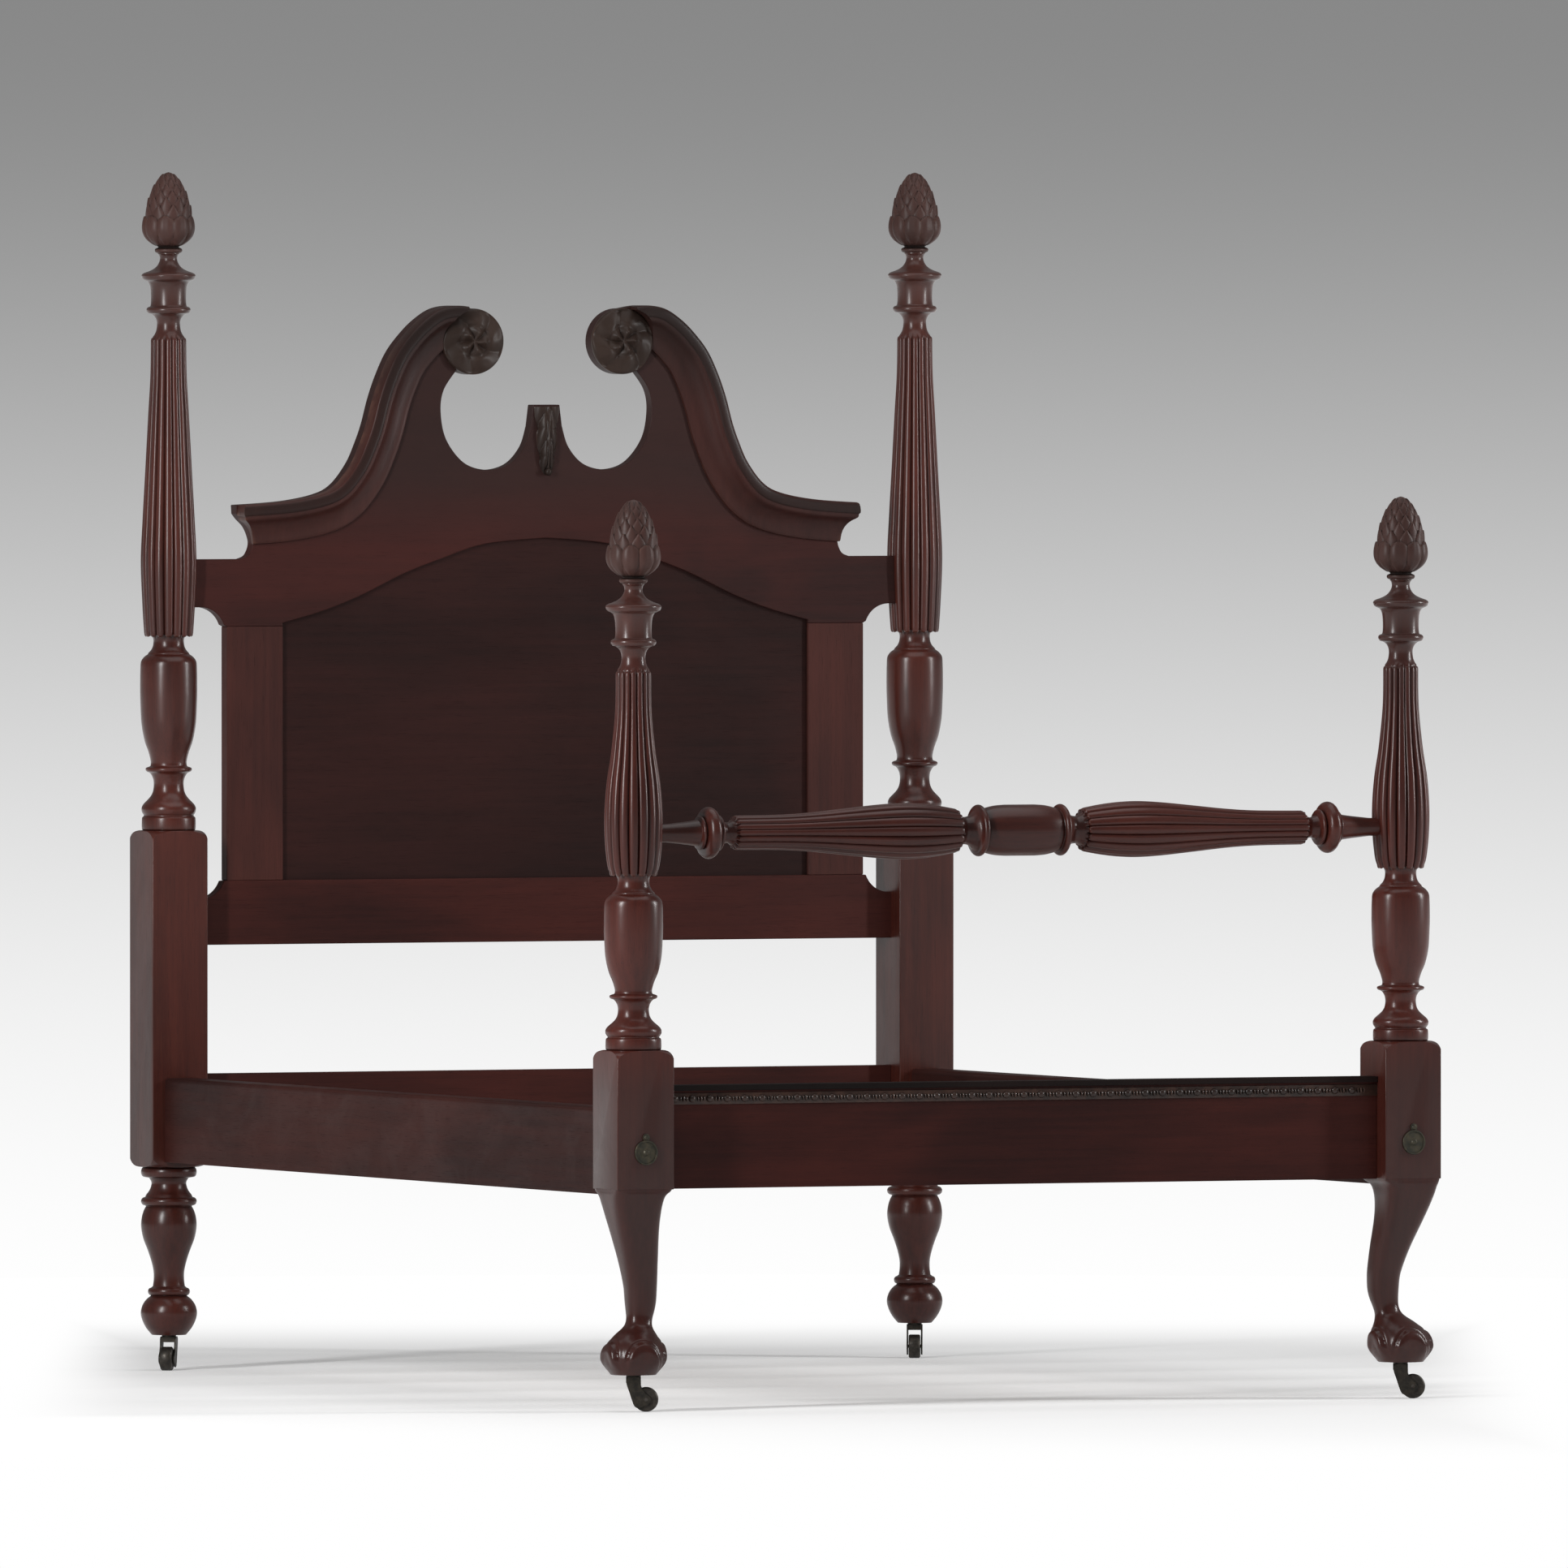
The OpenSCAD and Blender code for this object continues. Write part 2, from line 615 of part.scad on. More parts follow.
// Moulding along one swan neck, in layers that follow its fillet and its cove
module swan_moulding(side) {
    layers = [[1, 0.1], [0.84, 0.2], [0.68, 0.36], [0.54, 0.54], [0.42, 0.72], [0.33, 0.86], [0.22, 1]];
    outer = swan_line();
    color("#5b2c22") mirror([side > 0 ? 0 : 1, 0, 0]) difference() {
        for (layer = layers) {
            inner = beside(outer, layer[0] * moulding_w);
            tip = [for (p = tip_line()) if (p[1] > swan_end_z - layer[0] * moulding_w) p];
            board(board_face - layer[1] * moulding_t, layer[1] * moulding_t,
                concat(outer, reversed(tip), [[tip[0][0], swan_end_z - layer[0] * moulding_w]],
                    reversed([for (p = inner) if (p[0] < tip[0][0]) p])));
        }
        translate([rosette_x, board_face + 1, rosette_z]) rotate([90, 0, 0])
            cylinder(r = rosette_r + snug, h = moulding_t + 2);
    }
}

// Carved flower, as the turned disc that it is cut from
module rosette(side) {
    color("#4f2b22") translate([side * rosette_x, board_face, rosette_z]) rotate([90, 0, 0])
        rotate_extrude() polygon(concat(
            [[0, 0], [rosette_r, 0], [rosette_r, rosette_t * 0.42]],
            curve([[rosette_r * 0.97, rosette_t * 0.62], [rosette_r * 0.82, rosette_t * 0.88],
                [rosette_r * 0.6, rosette_t], [rosette_r * 0.34, rosette_t * 0.86],
                [rosette_r * 0.16, rosette_t * 0.66]]),
            [[0, rosette_t * 0.62]]
        ));
}

// Carved leaf that hangs on the middle plinth
module pendant_leaf() {
    half = plinth_w / 2 - 5;
    low = plinth_z - 131;
    right = curve([[half * 0.9, plinth_z - 4], [half, plinth_z - 34], [half * 0.92, plinth_z - 66],
        [half * 0.64, plinth_z - 98], [half * 0.3, plinth_z - 122], [0, low]]);
    left = [for (p = reversed(right)) if (p[0] > 0) [-p[0], p[1]]];
    color("#4f2b22") {
        board(board_face - 8, 8, concat(right, left));
        board(board_face - 14, 14, [for (p = concat(right, left)) [p[0] * 0.55, p[1] * 0.9 + plinth_z * 0.095]]);
    }
}

// Rail between two posts, with a tenon at each end
module end_rail(y, t, z, h) {
    translate([-inner_w / 2, y - t / 2, z]) cube([inner_w, t, h]);
    translate([-end_rail_reach, y - tenon_t / 2, z + tenon_shoulder])
        cube([2 * end_rail_reach, tenon_t, h - 2 * tenon_shoulder]);
}

module head_lower_rail() color("#57281f") end_rail(post_y, head_rail_t, head_rail_z, head_rail_h);

module foot_rail() color("#57281f") end_rail(-post_y, foot_rail_t, foot_block_z, foot_rail_h);

module foot_rail_cap() {
    color("#2b1714") translate([-inner_w / 2, foot_rail_face - cap_over, foot_rail_top])
        cube([inner_w, foot_rail_t + 2 * cap_over, cap_h]);
}

// Strip of carved beads under the cap strip
module foot_rail_beading() {
    strip_t = bead_t * 0.45;
    count = floor((inner_w - bead_pitch) / bead_pitch / 2);
    z = foot_rail_top - bead_drop - bead_h;
    color("#6b3a2b") {
        translate([-inner_w / 2, foot_rail_face - strip_t, z]) cube([inner_w, strip_t, bead_h]);
        for (i = [-count:count])
            translate([i * bead_pitch, foot_rail_face, z + bead_h / 2]) rotate([90, 0, 0])
                cylinder(r1 = bead_h * 0.42, r2 = bead_h * 0.2, h = bead_t);
    }
}

module blanket_rail() {
    line = blanket_line(ear_reach);
    half = [for (p = line) [p[0], p[1]]];
    other = [for (p = reversed(line)) if (p[1] > 0) [p[0], -p[1]]];
    color("#5b2c22") translate([0, -post_y, blanket_z]) rotate([0, 90, 0])
        rotate_extrude() polygon(concat([[0, -ear_reach]], other, half, [[0, ear_reach]]));
}

// Side rail, drilled for its bolts and pegs and pocketed for the nuts from inside
module side_rail(side) {
    top = side_rail_z + side_rail_h;
    half = side_rail_t / 2;
    section = concat(
        [[-half, side_rail_z], [half, side_rail_z]],
        arc([half - rail_edge_r, top - rail_edge_r], rail_edge_r, 0, 90, 15),
        arc([rail_edge_r - half, top - rail_edge_r], rail_edge_r, 90, 180, 15)
    );
    color("#57281f") translate([side * post_x, 0, 0]) difference() {
        translate([0, rail_len / 2, 0]) rotate([90, 0, 0]) linear_extrude(rail_len) polygon(section);
        for (end = ends) mirror([0, end > 0 ? 0 : 1, 0]) translate([0, rail_len / 2 + 1, 0]) {
            translate([0, 0, bolt_z]) rotate([90, 0, 0])
                cylinder(r = bolt_hole_r, h = bolt_len + counterbore_d - post_block + 8);
            for (up = ends) translate([0, 0, bolt_z + up * peg_pitch]) rotate([90, 0, 0])
                cylinder(r = peg_r + snug, h = peg_len / 2 + 2);
            mirror([side > 0 ? 1 : 0, 0, 0])
                translate([-nut_w / 2 - snug, nut_t / 2 + snug - 1 - nut_in - nut_pocket, bolt_z - nut_pocket / 2])
                    cube([half + nut_w, nut_pocket, nut_pocket]);
        }
        for (i = [0:screw_count - 1])
            translate([0, screw_y(i), ledger_z + ledger_w / 2]) mirror([side > 0 ? 1 : 0, 0, 0])
                rotate([0, 90, 0]) cylinder(r = screw_r + run, h = half + 1);
    }
}

function screw_y(i) = (i / (screw_count - 1) - 0.5) * (rail_len - 2 * slat_edge_gap);

module ledger(side) {
    x = side > 0 ? side_rail_in - ledger_w : -side_rail_in;
    color("#7a4a30") difference() {
        translate([x, ledger_end_gap - rail_len / 2, ledger_z])
            cube([ledger_w, rail_len - 2 * ledger_end_gap, ledger_w]);
        for (i = [0:screw_count - 1]) ledger_screw(side, i, run);
    }
}

// One screw from the ledger's inner face into the side rail, grown by g
module ledger_screw(side, i, g) {
    translate([side * (side_rail_in - ledger_w), screw_y(i), ledger_z + ledger_w / 2])
        rotate([0, side * 90, 0]) {
            cylinder(r = screw_r + g, h = screw_len + g);
            cylinder(r1 = screw_head_r + g, r2 = screw_r + g, h = 3);
        }
}

module ledger_screws() color("#8a8478") for (side = ends, i = [0:screw_count - 1]) ledger_screw(side, i, 0);

module slats() {
    length = 2 * (side_rail_in - slat_end_gap);
    step = (rail_len - 2 * slat_edge_gap - slat_w) / (slat_count - 1);
    color("#8a5a3a") for (i = [0:slat_count - 1])
        translate([-length / 2, (i - (slat_count - 1) / 2) * step - slat_w / 2, slat_z])
            cube([length, slat_w, slat_t]);
}

module rail_pegs() {
    color("#9a7048") for (c = corners, up = ends)
        translate([c[0] * post_x, c[1] * rail_len / 2, bolt_z + up * peg_pitch])
            rotate([90, 0, 0]) cylinder(r = peg_r, h = peg_len, center = true);
}

module bed_bolts() {
    head_y = block_face_y - counterbore_d;
    color("#3c3a37") for (c = corners) mirror([0, c[1] > 0 ? 0 : 1, 0])
        translate([c[0] * post_x, head_y, bolt_z]) {
            rotate([90, 0, 0]) cylinder(r = bolt_r, h = bolt_len);
            translate([-bolt_head_w / 2, 0, -bolt_head_w / 2]) cube([bolt_head_w, bolt_head_t, bolt_head_w]);
        }
}

module bolt_nuts() {
    color("#3c3a37") for (c = corners) mirror([0, c[1] > 0 ? 0 : 1, 0])
        translate([c[0] * post_x, rail_len / 2 - nut_in, bolt_z]) difference() {
            translate([-nut_w / 2, -nut_t / 2, -nut_w / 2]) cube([nut_w, nut_t, nut_w]);
            rotate([90, 0, 0]) cylinder(r = bolt_r + run, h = nut_t + 2, center = true);
        }
}

// Turns a piece that is built against the block's outer face at +Y to one of the four posts
module on_outer_face(corner) {
    translate([corner[0] * post_x, 0, bolt_z]) mirror([0, corner[1] > 0 ? 0 : 1, 0])
        translate([0, block_face_y, 0]) rotate([-90, 0, 0]) children();
}

module bolt_cover(corner) {
    color("#6f6238") on_outer_face(corner) translate([0, 0, free]) difference() {
        union() {
            cylinder(r = cover_r, h = cover_t);
            translate([0, 0, cover_t]) rotate_extrude()
                polygon([[cover_r - cover_rim, 0], [cover_r, 0], [cover_r - 0.6, cover_rim_t],
                    [cover_r - cover_rim + 0.4, cover_rim_t]]);
            translate([0, 0, cover_t]) cylinder(r1 = cover_boss_r, r2 = cover_boss_r * 0.6, h = cover_boss_t);
            translate([0, -pivot_up, 0]) cylinder(r = cover_ear_r, h = cover_t);
            translate([-cover_ear_r * 0.8, -pivot_up, 0]) cube([cover_ear_r * 1.6, cover_ear_r, cover_t]);
        }
        translate([0, -pivot_up, -1]) cylinder(r = pivot_r + run, h = cover_t + 2);
    }
}

module cover_screws() {
    color("#6f6238") for (c = corners) on_outer_face(c) translate([0, -pivot_up, 0]) {
        translate([0, 0, 1 - pivot_len]) cylinder(r = pivot_r, h = pivot_len + cover_t + 2 * free);
        translate([0, 0, cover_t + 2 * free]) cylinder(r1 = pivot_head_r, r2 = pivot_head_r * 0.7, h = pivot_head_t);
    }
}

module caster_sockets() {
    color("#6f6238") for (c = corners) at_post(c) difference() {
        union() {
            translate([0, 0, foot_z - flange_t]) cylinder(r = flange_r, h = flange_t);
            translate([0, 0, foot_z - flange_t]) cylinder(r = socket_r, h = socket_len + flange_t - 1);
        }
        translate([0, 0, foot_z - flange_t - 1]) cylinder(r = stem_r + run, h = stem_len + flange_t + 2);
    }
}

module at_caster(i) at_post(corners[i]) rotate([0, 0, trail_angles[i]]) children();

// Stem and fork of one caster, in one casting, trailing along its own +X
module caster_horn(i) {
    side_line = curve([[-flange_r, crown_top - 3], [-11.5, crown_top - 14], [-7, crown_top - 27],
        [-3, wheel_r], [2, wheel_r - 12], [10, wheel_r - 16]], 4);
    back_line = curve([[caster_trail - 3, wheel_r - 11], [caster_trail + 6, wheel_r - 6],
        [caster_trail + 8, wheel_r + 3], [caster_trail - 1, wheel_r + 11], [flange_r + 1, crown_top - 18],
        [flange_r, crown_top - 8], [flange_r, crown_top - 3]], 4);
    color("#6a5d3a") at_caster(i) difference() {
        union() {
            translate([0, 0, crown_top - 1]) cylinder(r = stem_r, h = stem_len + 1);
            intersection() {
                translate([0, 0, crown_top - crown_t]) cylinder(r = fork_out + 3, h = crown_t);
                translate([-flange_r, -fork_out, crown_top - crown_t]) cube([2 * flange_r, 2 * fork_out, crown_t]);
            }
            for (y = [-fork_in, fork_out])
                translate([0, y, 0]) rotate([90, 0, 0]) linear_extrude(fork_side_t)
                    polygon(concat(side_line, back_line));
        }
        translate([caster_trail, 0, wheel_r]) rotate([90, 0, 0])
            cylinder(r = axle_r + run, h = 2 * fork_out + 2, center = true);
    }
}

module caster_axle(i) {
    color("#4a4438") at_caster(i) translate([caster_trail, 0, wheel_r]) rotate([90, 0, 0])
        cylinder(r = axle_r, h = 2 * fork_out, center = true);
}

module caster_wheel(i) {
    edge = 2;
    color("#3f3a30") at_caster(i) translate([caster_trail, 0, wheel_r]) rotate([90, 0, 0]) difference() {
        rotate_extrude() polygon([
            [0, -wheel_t / 2], [wheel_r - edge, -wheel_t / 2], [wheel_r, edge - wheel_t / 2],
            [wheel_r, wheel_t / 2 - edge], [wheel_r - edge, wheel_t / 2], [0, wheel_t / 2]
        ]);
        cylinder(r = axle_r + run, h = wheel_t + 2, center = true);
    }
}

head_post(-1);  // head_post_left
head_post(1);  // head_post_right
foot_post(-1);  // foot_post_left
foot_post(1);  // foot_post_right
finial(corners[0], head_post_h);  // head_finial_left
finial(corners[1], head_post_h);  // head_finial_right
finial(corners[2], foot_post_h);  // foot_finial_left
finial(corners[3], foot_post_h);  // foot_finial_right
headboard_crest();
headboard_stile(-1);  // headboard_stile_left
headboard_stile(1);  // headboard_stile_right
headboard_bottom_rail();
headboard_panel();
swan_moulding(-1);  // swan_moulding_left
swan_moulding(1);  // swan_moulding_right
rosette(-1);  // rosette_left
rosette(1);  // rosette_right
pendant_leaf();
head_lower_rail();
foot_rail();
foot_rail_cap();
foot_rail_beading();
blanket_rail();
side_rail(-1);  // side_rail_left
side_rail(1);  // side_rail_right
ledger(-1);  // ledger_left
ledger(1);  // ledger_right
ledger_screws();
slats();
rail_pegs();
bed_bolts();
bolt_nuts();
cover_screws();
bolt_cover(corners[0]);  // bolt_cover_head_left
bolt_cover(corners[1]);  // bolt_cover_head_right
bolt_cover(corners[2]);  // bolt_cover_foot_left
bolt_cover(corners[3]);  // bolt_cover_foot_right
caster_sockets();
caster_horn(0);  // caster_horn_head_left
caster_horn(1);  // caster_horn_head_right
caster_horn(2);  // caster_horn_foot_left
caster_horn(3);  // caster_horn_foot_right
caster_axle(0);  // caster_axle_head_left
caster_axle(1);  // caster_axle_head_right
caster_axle(2);  // caster_axle_foot_left
caster_axle(3);  // caster_axle_foot_right
caster_wheel(0);  // caster_wheel_head_left
caster_wheel(1);  // caster_wheel_head_right
caster_wheel(2);  // caster_wheel_foot_left
caster_wheel(3);  // caster_wheel_foot_right
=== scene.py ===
import math

import bmesh
import bpy
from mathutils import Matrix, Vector


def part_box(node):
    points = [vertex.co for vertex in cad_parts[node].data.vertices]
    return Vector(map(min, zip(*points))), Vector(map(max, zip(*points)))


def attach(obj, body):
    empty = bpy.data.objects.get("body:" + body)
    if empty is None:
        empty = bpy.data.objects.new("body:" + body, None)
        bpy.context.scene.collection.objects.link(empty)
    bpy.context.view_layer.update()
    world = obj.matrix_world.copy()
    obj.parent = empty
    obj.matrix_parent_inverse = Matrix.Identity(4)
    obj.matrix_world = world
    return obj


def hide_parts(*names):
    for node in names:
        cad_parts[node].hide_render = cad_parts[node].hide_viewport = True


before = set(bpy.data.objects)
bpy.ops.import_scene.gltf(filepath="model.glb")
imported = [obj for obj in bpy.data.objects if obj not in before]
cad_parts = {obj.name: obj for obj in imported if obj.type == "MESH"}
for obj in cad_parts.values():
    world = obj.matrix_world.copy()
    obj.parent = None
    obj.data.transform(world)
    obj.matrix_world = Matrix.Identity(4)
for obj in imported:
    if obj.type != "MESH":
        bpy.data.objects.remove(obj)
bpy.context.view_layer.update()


# Head posts
# Two tall posts, each turned from one length of mahogany with a square block left in it for the
# rails, a pedestal, a vase and a shaft that is carved into sixteen reeds. They are finished in a
# dark red-brown polish that has dulled to a satin sheen; grime and painted shade darken the hollows.
mm = 0.001
post_x, post_y, block_w = 740, 1045, 108
head_block_low, head_block_top, head_top = 368, 977, 2171
head_pedestal_h, head_vase_h = 111, 192
neck_h, crown_h, seat_d = 47, 303, 150
foot_low = 64
bolt_z, counterbore_r, counterbore_d = 454, 14, 16


class Recipe:
    """The node tree of one finish, or of the room, and the few kinds of node that it is mixed from."""

    def __init__(self, owner):
        owner.use_nodes = True
        self.owner, self.tree = owner, owner.node_tree
        self.shader = self.tree.nodes.get("Principled BSDF")
        self.place = self.node("TexCoord").outputs["Object"]

    def give(self, node, inputs):
        """Gives a node's sockets their numbers and colours, or the outputs of other nodes."""
        for socket, value in inputs.items():
            if isinstance(value, bpy.types.NodeSocket):
                self.tree.links.new(value, node.inputs[socket])
            else:
                node.inputs[socket].default_value = value

    def node(self, kind, inputs=None, **settings):
        made = self.tree.nodes.new("ShaderNode" + kind)
        for setting, value in settings.items():
            setattr(made, setting, value)
        self.give(made, inputs or {})
        return made

    def noise(self, scale, detail, roughness=0.5, distortion=0.0, grain="", stretch=1, shift=0):
        """Noise that is drawn out along the grain."""
        along = self.node("Mapping", {
            "Vector": self.place, "Scale": [stretch if axis == grain else 1 for axis in "XYZ"],
            "Location": (shift * 0.37, shift * 0.91, shift * 0.53)})
        return self.node("TexNoise", {
            "Vector": along.outputs["Vector"], "Scale": scale, "Detail": detail, "Roughness": roughness,
            "Distortion": distortion}).outputs["Fac"]

    def spread(self, value, low, high, to_low=0, to_high=1, ease="SMOOTHSTEP"):
        return self.node("MapRange", {"Value": value, "From Min": low, "From Max": high, "To Min": to_low,
                                      "To Max": to_high}, interpolation_type=ease).outputs["Result"]

    def maths(self, kind, first, second):
        return self.node("Math", {0: first, 1: second}, operation=kind).outputs["Value"]

    def mixed(self, share, first, second, kind="MIX"):
        mix = self.node("Mix", data_type="RGBA", blend_type=kind)
        self.give(mix, {0: share, 6: first, 7: second})
        return mix.outputs[2]

    def two_tone(self, value, low, dark, high, pale):
        """The dark colour up to low, the pale one from high on."""
        ramp = self.node("ValToRGB", {"Fac": value})
        for stop, (place, colour) in zip(ramp.color_ramp.elements, ((low, dark), (high, pale))):
            stop.position, stop.color = place, colour + (1,)
        return ramp.outputs["Color"]

    def openness(self, reach):
        """How far a place lies open, 1, or in a hollow, 0."""
        return self.node("AmbientOcclusion", {"Distance": reach}, samples=6, only_local=True).outputs["AO"]

    def raised(self, height, strength, distance):
        bump = self.node("Bump", {"Height": height, "Strength": strength, "Distance": distance})
        self.give(self.shader, {"Normal": bump.outputs["Normal"]})


def mahogany(name, grain, deep, warm, shine=0.3, polish=0.34, figure=1.0, grime_and_shade=0.55, wear_and_highlight=0.4):
    """Polished mahogany: grain is the axis that it runs along, deep and warm its two browns."""
    wood = Recipe(bpy.data.materials.new(name))

    def pattern(scale, detail, roughness, stretch, distortion=0.0):
        return wood.noise(scale, detail, roughness, distortion, grain, stretch, len(name))

    broad, flame = pattern(3.1, 3, 0.55, 0.45, 0.6), pattern(17, 4, 0.6, 0.16, 1.4)
    streaks, pores = pattern(95, 5, 0.66, 0.028, 0.25), pattern(780, 2, 0.6, 0.035)
    flames = wood.maths("MULTIPLY", wood.spread(flame, 0.3, 0.7), 0.25 * figure)
    lines = wood.maths("MULTIPLY", wood.spread(streaks, 0.3, 0.7), 0.35 * figure)
    clouds = wood.maths("MULTIPLY", wood.spread(broad, 0.36, 0.66), 0.5)
    tone = wood.maths("ADD", clouds, wood.maths("ADD", flames, lines))
    colour = wood.mixed(tone, deep + (1,), warm + (1,))
    open_pores = wood.spread(pores, 0.57, 0.72)
    colour = wood.mixed(wood.maths("MULTIPLY", open_pores, 0.5 * figure), colour, (0.006, 0.003, 0.003, 1))
    # Grime and painted shade: the colour runs towards near black in hollows and creases, the more closed in
    # a place is.
    dark = wood.spread(wood.openness(0.014), 0.45, 0.95, grime_and_shade, 0)
    colour = wood.mixed(dark, colour, (0.008, 0.005, 0.004, 1))
    # Wear and painted highlight: sharp raised edges are painted paler, in patches.
    if wear_and_highlight:
        edges = wood.node("NewGeometry").outputs["Pointiness"]
        edge_patchiness = wood.spread(pattern(38, 3, 0.6, 1), 0.42, 0.6, 0.2, 1)
        pale_edge_share = wood.maths("MULTIPLY", wood.spread(edges, 0.53, 0.62, 0, wear_and_highlight), edge_patchiness)
        colour = wood.mixed(pale_edge_share, colour, (0.16, 0.075, 0.05, 1))
    smudges = pattern(11, 4, 0.62, 0.6, 0.8)
    rough = wood.maths("ADD", wood.spread(smudges, 0.3, 0.7, shine + 0.06, shine + 0.24),
                       wood.maths("MULTIPLY", open_pores, 0.2))
    wood.give(wood.shader, {
        "Base Color": colour, "Roughness": wood.maths("ADD", rough, wood.maths("MULTIPLY", dark, 0.3)),
        "Specular IOR Level": 0.05, "Coat Weight": polish, "Coat Roughness": shine})
    relief = wood.maths("SUBTRACT", wood.maths("MULTIPLY", streaks, 0.5),
                        wood.maths("MULTIPLY", open_pores, 0.35))
    wood.raised(wood.maths("ADD", relief, wood.maths("MULTIPLY", smudges, 0.35)), 0.35, 0.0006)
    return wood.owner


def tinted(material, axis, near, far, share, colour):
    """Lets a wood's colour run into another one between two places along an axis."""
    wood = Recipe(material)
    along = wood.node("SeparateXYZ", {"Vector": wood.place}).outputs[axis]
    was = wood.shader.inputs["Base Color"].links[0].from_socket
    share = wood.spread(along, near * mm, far * mm, 0, share, "LINEAR")
    wood.give(wood.shader, {"Base Color": wood.mixed(share, was, colour + (1,))})


def curve(points, steps=5):
    """A smooth line through the points, as the eye draws it between them."""
    line = []
    for i in range(len(points) - 1):
        a, b, c, d = (Vector(points[max(0, min(len(points) - 1, i + k))]) for k in (-1, 0, 1, 2))
        for s in range(steps):
            t = s / steps
            line.append((2 * b + (c - a) * t + (2 * a - 5 * b + 4 * c - d) * t * t
                         + (3 * b - a - 3 * c + d) * t ** 3) / 2)
    return [tuple(p) for p in line] + [tuple(points[-1])]


def bead(low, height, radius, out, steps=12):
    """A half-round bead that stands out of a turning of that radius."""
    turns = [math.pi * i / steps for i in range(steps + 1)]
    return [(radius + out * math.sin(a), low + height * (1 - math.cos(a)) / 2) for a in turns]


def alone(*pieces):
    """Selects these pieces and nothing else, and makes the first of them the active one."""
    bpy.ops.object.select_all(action="DESELECT")
    for piece in pieces:
        piece.select_set(True)
    bpy.context.view_layer.objects.active = pieces[0]


def settled():
    """Puts the active piece's place, turn and size into its mesh."""
    bpy.ops.object.transform_apply(location=True, rotation=True, scale=True)
    return bpy.context.object


def worked(piece, kind, **settings):
    """Gives the active piece a modifier with these settings, and applies it."""
    step = piece.modifiers.new("step", kind)
    for setting, value in settings.items():
        setattr(step, setting, value)
    bpy.ops.object.modifier_apply(modifier="step")


def drawn(name, spots):
    """A chain of edges through the spots, extruded from one point to the next, in edit mode."""
    bpy.ops.object.select_all(action="DESELECT")
    bpy.ops.mesh.primitive_plane_add(size=mm, location=spots[0])
    piece = settled()
    piece.name = piece.data.name = name
    bpy.ops.object.mode_set(mode="EDIT")
    bpy.ops.mesh.select_mode(type="VERT")
    bpy.ops.mesh.select_all(action="SELECT")
    bpy.ops.mesh.merge(type="CENTER")
    for here, there in zip(spots, spots[1:]):
        bpy.ops.mesh.extrude_region_move(TRANSFORM_OT_translate={"value": Vector(there) - Vector(here)})
    return piece


def closed():
    """Welds the piece in edit mode, points its faces outwards and leaves edit mode."""
    bpy.ops.mesh.select_all(action="SELECT")
    bpy.ops.mesh.remove_doubles(threshold=0.01 * mm)
    bpy.ops.mesh.normals_make_consistent(inside=False)
    bpy.ops.object.mode_set(mode="OBJECT")


def turned(name, line, centre, side=(1, 0, 0), axis=(0, 0, 1), steps=160):
    """A lathe piece: a line of (radius, distance along the axis) spun about the axis."""
    middle, side, axis = Vector(centre) * mm, Vector(side), Vector(axis)
    piece = drawn(name, [middle + (side * r + axis * h) * mm for r, h in line])
    bpy.ops.mesh.select_all(action="SELECT")
    bpy.ops.mesh.spin(steps=steps, angle=math.tau, center=middle, axis=axis, use_auto_merge=True)
    closed()
    return piece


def pick(test):
    """Selects the corners whose place passes the test, on the piece that is in edit mode."""
    shape = bmesh.from_edit_mesh(bpy.context.edit_object.data)
    shape.select_mode = {"VERT"}
    for corner in shape.verts:
        corner.select = test(corner.co)
    shape.select_flush_mode()
    bmesh.update_edit_mesh(bpy.context.edit_object.data)


def work_on(piece):
    """Makes one piece active and opens it in edit mode with nothing selected."""
    alone(piece)
    bpy.ops.object.mode_set(mode="EDIT")
    bpy.ops.mesh.select_mode(type="VERT")
    bpy.ops.mesh.select_all(action="DESELECT")


def carved(piece, carve):
    """Moves the corners of a piece, each as the carving function says."""
    work_on(piece)
    shape = bmesh.from_edit_mesh(piece.data)
    for corner in shape.verts:
        carve(corner.co)
    bmesh.update_edit_mesh(piece.data)
    bpy.ops.object.mode_set(mode="OBJECT")


def reeded(piece, centre, low, high, side=(1, 0, 0), axis=(0, 0, 1), reeds=16, depth=0.13):
    """Carves the turned shaft between low and high into reeds with rounded ends."""
    middle, side, axis = Vector(centre) * mm, Vector(side), Vector(axis)
    across = axis.cross(side)
    work_on(piece)

    def from_crest(off):
        turn = math.atan2(off.dot(across), off.dot(side)) / math.tau * reeds
        return abs(turn - round(turn)) * 2

    for share, sunk in ((0.2, 0.02), (0.4, 0.083), (0.6, 0.2), (0.8, 0.42), (1, 1)):
        def in_row(co, span_low=low, span_high=high):
            off = co - middle
            h = off.dot(axis) / mm
            return span_low <= h <= span_high and abs(from_crest(off) - share) < 0.05

        keep = 1 - sunk * depth
        pick(in_row)
        bpy.ops.transform.resize(value=[1 if axis[i] else keep for i in range(3)], center_override=middle)
        for end, way in ((low, 1), (high, -1)):
            pick(lambda co: in_row(co, end - 4, end + 4))
            bpy.ops.transform.translate(value=axis * way * sunk * 5 * mm)
    bpy.ops.object.mode_set(mode="OBJECT")


def cut(piece, tool, kind="DIFFERENCE"):
    """Cuts one piece with another, which is used up."""
    alone(piece)
    worked(piece, "BOOLEAN", operation=kind, object=tool, solver="EXACT")
    bpy.data.objects.remove(tool)


def joined(name, pieces):
    """One object from several shapes of the same piece of wood."""
    alone(*pieces)
    bpy.ops.object.join()
    pieces[0].name = pieces[0].data.name = name
    return pieces[0]


